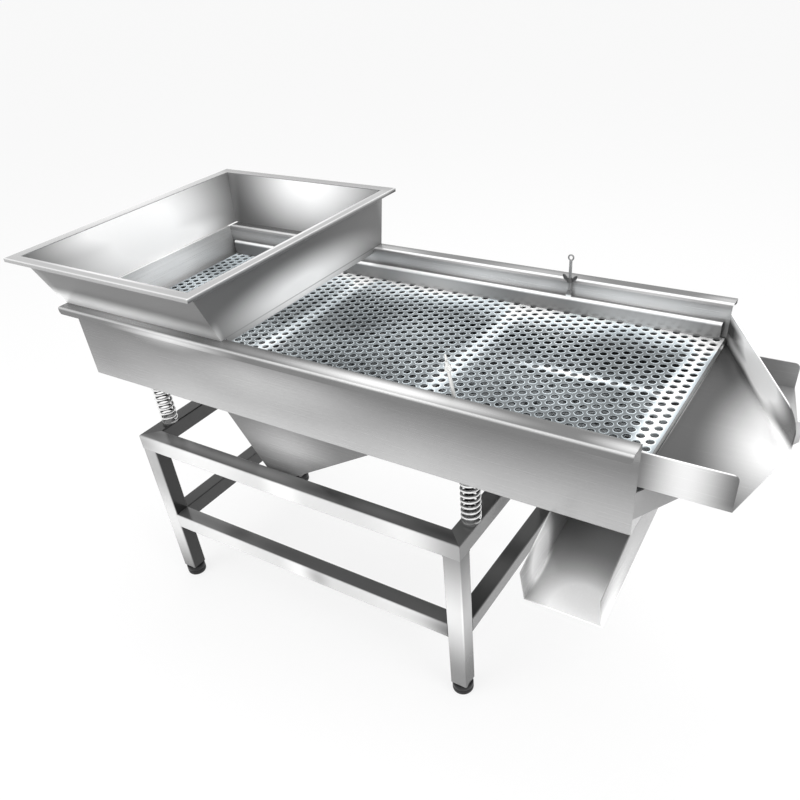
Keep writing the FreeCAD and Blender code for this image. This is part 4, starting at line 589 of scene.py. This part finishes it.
def punched(low, high, radius, column, row):
    """A sheet with staggered round holes. It is columns of cells, column wide and row long, each a
    twelve-point rim, a collar that rises to the hole's edge, the hole's wall and the underside. Every
    other column is shifted by half a row, with half cells left plain at its ends, and strips close
    the margins."""
    count = int((LAST_COLUMN - column / 2 - low.x) // column)
    centres = LAST_COLUMN - column * np.arange(count + 1)
    rows = int((high.y - FIRST_ROW - row / 2) // row) + 1
    a, b = column / 2, row / 2
    rim = np.array([(a, 0), (a, b / 2), (a, b), (0, b), (-a, b), (-a, b / 2),
                    (-a, 0), (-a, -b / 2), (-a, -b), (0, -b), (a, -b), (a, -b / 2)])
    turn = np.linspace(0, 2 * np.pi, HOLE_STEPS, endpoint=False)
    circle = np.stack([np.cos(turn), np.sin(turn)], axis=-1)
    rings = (
        (rim, high.z),
        (circle * (radius + COLLAR_WIDTH), high.z),
        (circle * radius, high.z + COLLAR_HEIGHT),
        (circle * radius, low.z),
        (rim, low.z),
    )
    cell = np.concatenate([np.column_stack([flat, np.full(HOLE_STEPS, z)]) for flat, z in rings])
    grid = [(x, FIRST_ROW + row * k) for x in centres[::2] for k in range(rows)]
    grid += [(x, FIRST_ROW + row * (k + 0.5)) for x in centres[1::2] for k in range(rows - 1)]
    grid = np.column_stack([grid, np.zeros(len(grid))])
    points = (cell[None] + grid[:, None]).reshape(-1, 3)
    n = np.arange(HOLE_STEPS)
    m = (n + 1) % HOLE_STEPS
    band = np.stack([n, m, m + HOLE_STEPS, n + HOLE_STEPS], axis=-1)
    one = np.concatenate([band + HOLE_STEPS * ring for ring in range(len(rings) - 1)])
    faces = (one[None] + len(cell) * np.arange(len(grid))[:, None, None]).reshape(-1, 4)
    y0, y1 = FIRST_ROW - b, FIRST_ROW + row * (rows - 1) + b
    x0, x1 = centres[-1] - a, centres[0] + a
    plates = [(low.x, low.y, x0, high.y), (x1, low.y, high.x, high.y)]
    plates += [(x0, low.y, x1, y0), (x0, y1, x1, high.y)]
    plates += [(x - a, y, x + a, y + b) for x in centres[1::2] for y in (y0, y1 - b)]
    plates = np.array(plates)
    x, y = plates[:, [0, 2, 2, 0]], plates[:, [1, 1, 3, 3]]
    upper = np.stack([x, y, np.full_like(x, high.z)], axis=-1)
    lower = np.stack([x, y, np.full_like(x, low.z)], axis=-1)
    blocks = np.concatenate([upper, lower], axis=1).reshape(-1, 3)
    slab = np.array([(0, 1, 2, 3), (7, 6, 5, 4)])
    slabs = (slab[None] + 8 * np.arange(len(plates))[:, None, None]).reshape(-1, 4)
    edge = np.array([(low.x, low.y), (high.x, low.y), (high.x, high.y), (low.x, high.y)])
    border = np.concatenate([np.column_stack([edge, np.full(4, z)]) for z in (high.z, low.z)])
    around = np.array([(0, 4, 5, 1), (1, 5, 6, 2), (2, 6, 7, 3), (3, 7, 4, 0)])
    return (np.concatenate([points, blocks, border]),
            np.concatenate([faces, slabs + len(points), around + len(points) + len(blocks)]))


deck_look = {"cloud": 0.5, "mirror": 0.3}
deck_steel = stainless("punched_sheet", "y", 0.135, 0.3, tint=(0.86, 0.95, 1.0), **deck_look, painted_glints=[
    # painted highlights on the collars, and painted shade on the walls and the underside below them
    ((0, 0, 857.3), (0, 0, 1.5), 1.0),
    ((0, 0, 853), (0, 0, 2.8), -0.6),
    # painted light on the back edge, and on the part under the hopper
    ((0, 640, 0), (0, 165, 0), 1.3),
    ((150, 450, 0), (340, 260, 0), 1.0),
    # painted light over the bars that run across, and at the outlet edge
    ((470, 0, 0), (46, 0, 0), 0.5),
    ((970, 0, 0), (46, 0, 0), 0.5),
    ((1461, 0, 0), (42, 0, 0), 0.95),
    # painted light over the long bar near the outlet, and a faint painted pool of light in the middle
    ((1270, 314, 0), (270, 22, 0), 0.8),
    ((760, 330, 0), (200, 180, 0), 0.08),
])
lower_steel = stainless("punched_sheet_lower", "y", 0.32, 0.35, tint=(0.9, 0.96, 1.0), **deck_look, painted_glints=[
    # painted shade towards the back and at the outlet end
    ((0, 600, 0), (0, 230, 0), -0.3),
    ((1490, 0, 0), (50, 0, 0), -0.26),
])
for name, hole, column, row, steel in (
    ("upper_deck", UPPER_HOLE, UPPER_COLUMN, UPPER_ROW, deck_steel),
    ("lower_deck", LOWER_HOLE, LOWER_COLUMN, LOWER_ROW, lower_steel),
):
    low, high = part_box(name)
    points, faces = punched(low, high, hole, column, row)
    deck = put("punched_" + name, points, faces, steel, "trough", smooth=False)
    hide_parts(name)
# The deck bars: a painted highlight on their ends at the outlet.
bar_steel = stainless("deck_bars", "x", 0.15, 0.3, [((1491, 0, 0), (6, 0, 0), 0.6)])
dress(bar_steel, "upper_deck_long_bars", "upper_deck_cross_bars")
dress(bar_steel, "lower_deck_long_bars", "lower_deck_cross_bars")

# The hold-down bars and eye bolts
# Folded strips press the upper deck onto its ledges. On each, a bright eye bolt turns on a pin between
# two ears, with a washer and a wing nut on its thread.
bar_sheet = stainless("hold_down_sheet", "x", 0.2, 0.25, mirror=0.3, painted_glints=[
    # painted highlights on the back bar's upper fold and its upright, then on the front bar's upper fold
    ((0, 608, 898), (0, 9, 9), 1.4),
    ((700, 607, 880), (280, 8, 70), 0.3),
    ((1290, 607, 880), (220, 8, 70), 0.3),
    ((0, 18, 896), (0, 10, 9), 0.6),
])
dress(bar_sheet, "hold_down_bar_front", "hold_down_bar_back")
rod_steel = stainless("bright_rod", "z", 0.8, 0.22, tint=(1.0, 1.0, 0.98), cloud=0.06)
dress(rod_steel, "pivot_pin_front", "eye_bolt_front", "washer_front", "wing_nut_front")
nut_steel = stainless("dark_wing_nut", "z", 0.1, 0.3)
dress(nut_steel, "wing_nut_back", "washer_back")
# The back eye bolt and its pin: a darker copy of the bright rod, painted shade, with a painted highlight up
# the bolt.
back_rod = stainless("back_rod", "z", 0.3, 0.22, [((1094, 616, 985), (6, 6, 40), 0.3)])
dress(back_rod, "pivot_pin_back", "eye_bolt_back")

# The hopper
# Four flared walls of stainless sheet welded at the corners, with a narrow flat rim folded around the
# mouth. It stands on the trough's rims at the feed end.
hopper_steel = stainless("hopper_sheet", "x", 0.13, 0.3, mirror=0.15, painted_glints=[
    # painted light on the front wall's and the outlet-side wall's outer faces, from the bottom up
    ((-50, -24, 937), (1000, 28, 66), 0.95),
    ((481, 300, 955), (18, 400, 90), 0.95),
    # painted light on the back wall's and the feed-side wall's inner faces
    ((215, 695, 1085), (330, 60, 290), 0.9),
    ((-108, 320, 1005), (60, 450, 420), 1.05),
    ((-118, 150, 1075), (40, 230, 60), 0.35),
    ((-100, 490, 950), (30, 170, 50), 0.35),
    # a line of painted shade along the outlet-side wall's lower edge
    ((480, 327, 938), (8, 420, 2.5), -0.45),
])
dress(hopper_steel, "hopper_shell")
rim_steel = stainless("hopper_rim_sheet", "x", 0.4, 0.24, [
    # painted light on the feed side
    ((-150, 300, 1080), (60, 450, 0), 0.3),
    # painted highlights on the outlet side's inner line and outer line, and painted shade on the edge under
    # that
    ((480, 327, 1081), (7, 440, 0), 0.5),
    ((504, 0, 1081), (5, 0, 4), 0.4),
    ((507, 0, 1073), (4, 0, 6), -0.3),
    # painted highlights on the front's inner line and its outer line
    ((178, -74, 1081), (340, 7, 0), 0.45),
    ((0, -98, 1081), (0, 5, 4), 0.35),
    # painted shade on the back
    ((180, 720, 1080), (0, 40, 0), -0.1),
])
dress(rim_steel, "hopper_rim")

# The outlet chutes
# Folded and welded sheet trays that gather each deck's material into a narrower outlet, the upper to
# the front and the middle to the back, and a slide under the trough for the fines.
tray_steel = stainless("tray_sheet", "x", 0.07, 0.26, mirror=0.2, painted_glints=[
    # painted light on the floor, brighter away from the trough, and on its edge at the trough
    ((1720, 300, 842), (195, 380, 25), 1.0),
    ((1493, 320, 845), (4, 310, 8), 0.5),
    # a painted highlight on the straight wall
    ((1575, -1, 880), (108, 5, 0), 0.75),
    # painted light on the slanting wall, and painted highlights on the walls' upper edges
    ((1614, 425, 897), (160, 235, 53), 2.0),
    ((1606, 430, 862), (130, 185, 19), 0.8),
    ((1545, 560, 862), (110, 110, 18), 0.5),
    ((1530, 585, 914), (120, 130, 18), 0.8),
    ((0, 0, 919), (0, 0, 3.5), 0.9),
])
dress(tray_steel, "oversize_chute")
middle_steel = stainless("middle_tray_sheet", "x", 0.3, 0.26, mirror=0.3, painted_glints=[
    # a painted pool of light on its outer part, towards the back
    ((1700, 500, 800), (120, 160, 60), 0.6),
])
dress(middle_steel, "middle_chute")
slide_steel = stainless("slide_sheet", "y", 0.33, 0.26, mirror=0.25, painted_glints=[
    # painted light on the lower part of the floor, then on the feed-side wall and the other one
    ((1440, -125, 560), (125, 140, 100), 0.85),
    ((1425, -75, 600), (150, 125, 110), 0.6),
    ((1324, -42, 636), (12, 76, 120), 1.3),
    ((1494, 0, 640), (9, 150, 90), 0.14),
])
dress(slide_steel, "fines_chute")

# The vibration motors
# Two unbalanced motors are bolted to an inclined plate between two gussets welded under the trough.
# Their cast housings are painted grey, their end covers pressed, their weights and shafts plain iron.
PEEL_SCALE, PEEL_RELIEF, PEEL_DEPTH = 420.0, 0.2, 0.0003
PATCH_SCALE = 18.0
PAINT_DARK, PAINT_PALE = 0.8, 1.15
PAINT_SMOOTH, PAINT_COARSE = 0.8, 1.2

# The gussets: a painted pool of light on the front gusset's outer face.
gusset_steel = stainless("gusset_plate", "x", 0.2, 0.26, [((545, 65, 585), (210, 20, 140), 0.28)])
dress(gusset_steel, "motor_gusset_front", "motor_gusset_back", "motor_plate")


def painted(name, colour, rough):
    """Paint on cast iron: a soft orange-peel relief, and a little variation of tone and gloss."""
    paint = bpy.data.materials.new(name)
    wires = Wiring(paint)
    place = wires.add("TexCoord", {}).outputs["Object"]
    peel = noise(wires, place, [PEEL_SCALE] * 3, FINE_DETAIL)
    patch = noise(wires, place, [PATCH_SCALE] * 3, FINE_DETAIL)
    dark, pale = (tuple(c * share for c in colour) + (1,) for share in (PAINT_DARK, PAINT_PALE))
    shader = wires.nodes["Principled BSDF"]
    wires.give(shader, {
        "Base Color": wires.ramp(patch, [(0.0, dark), (1.0, pale)]),
        "Roughness": wires.between(patch, rough * PAINT_SMOOTH, rough * PAINT_COARSE),
    })
    bumped(wires, shader, peel, PEEL_RELIEF, PEEL_DEPTH)
    return paint


motor_paint = painted("motor_paint", (0.16, 0.17, 0.18), 0.4)
motor_iron = painted("motor_iron", (0.08, 0.08, 0.08), 0.6)
dress(motor_paint, "upper_motor_housing", "lower_motor_housing", "motor_end_covers", "motor_terminal_boxes")
dress(motor_iron, "upper_motor_rotor", "lower_motor_rotor")
dress(bright, "motor_bolts")
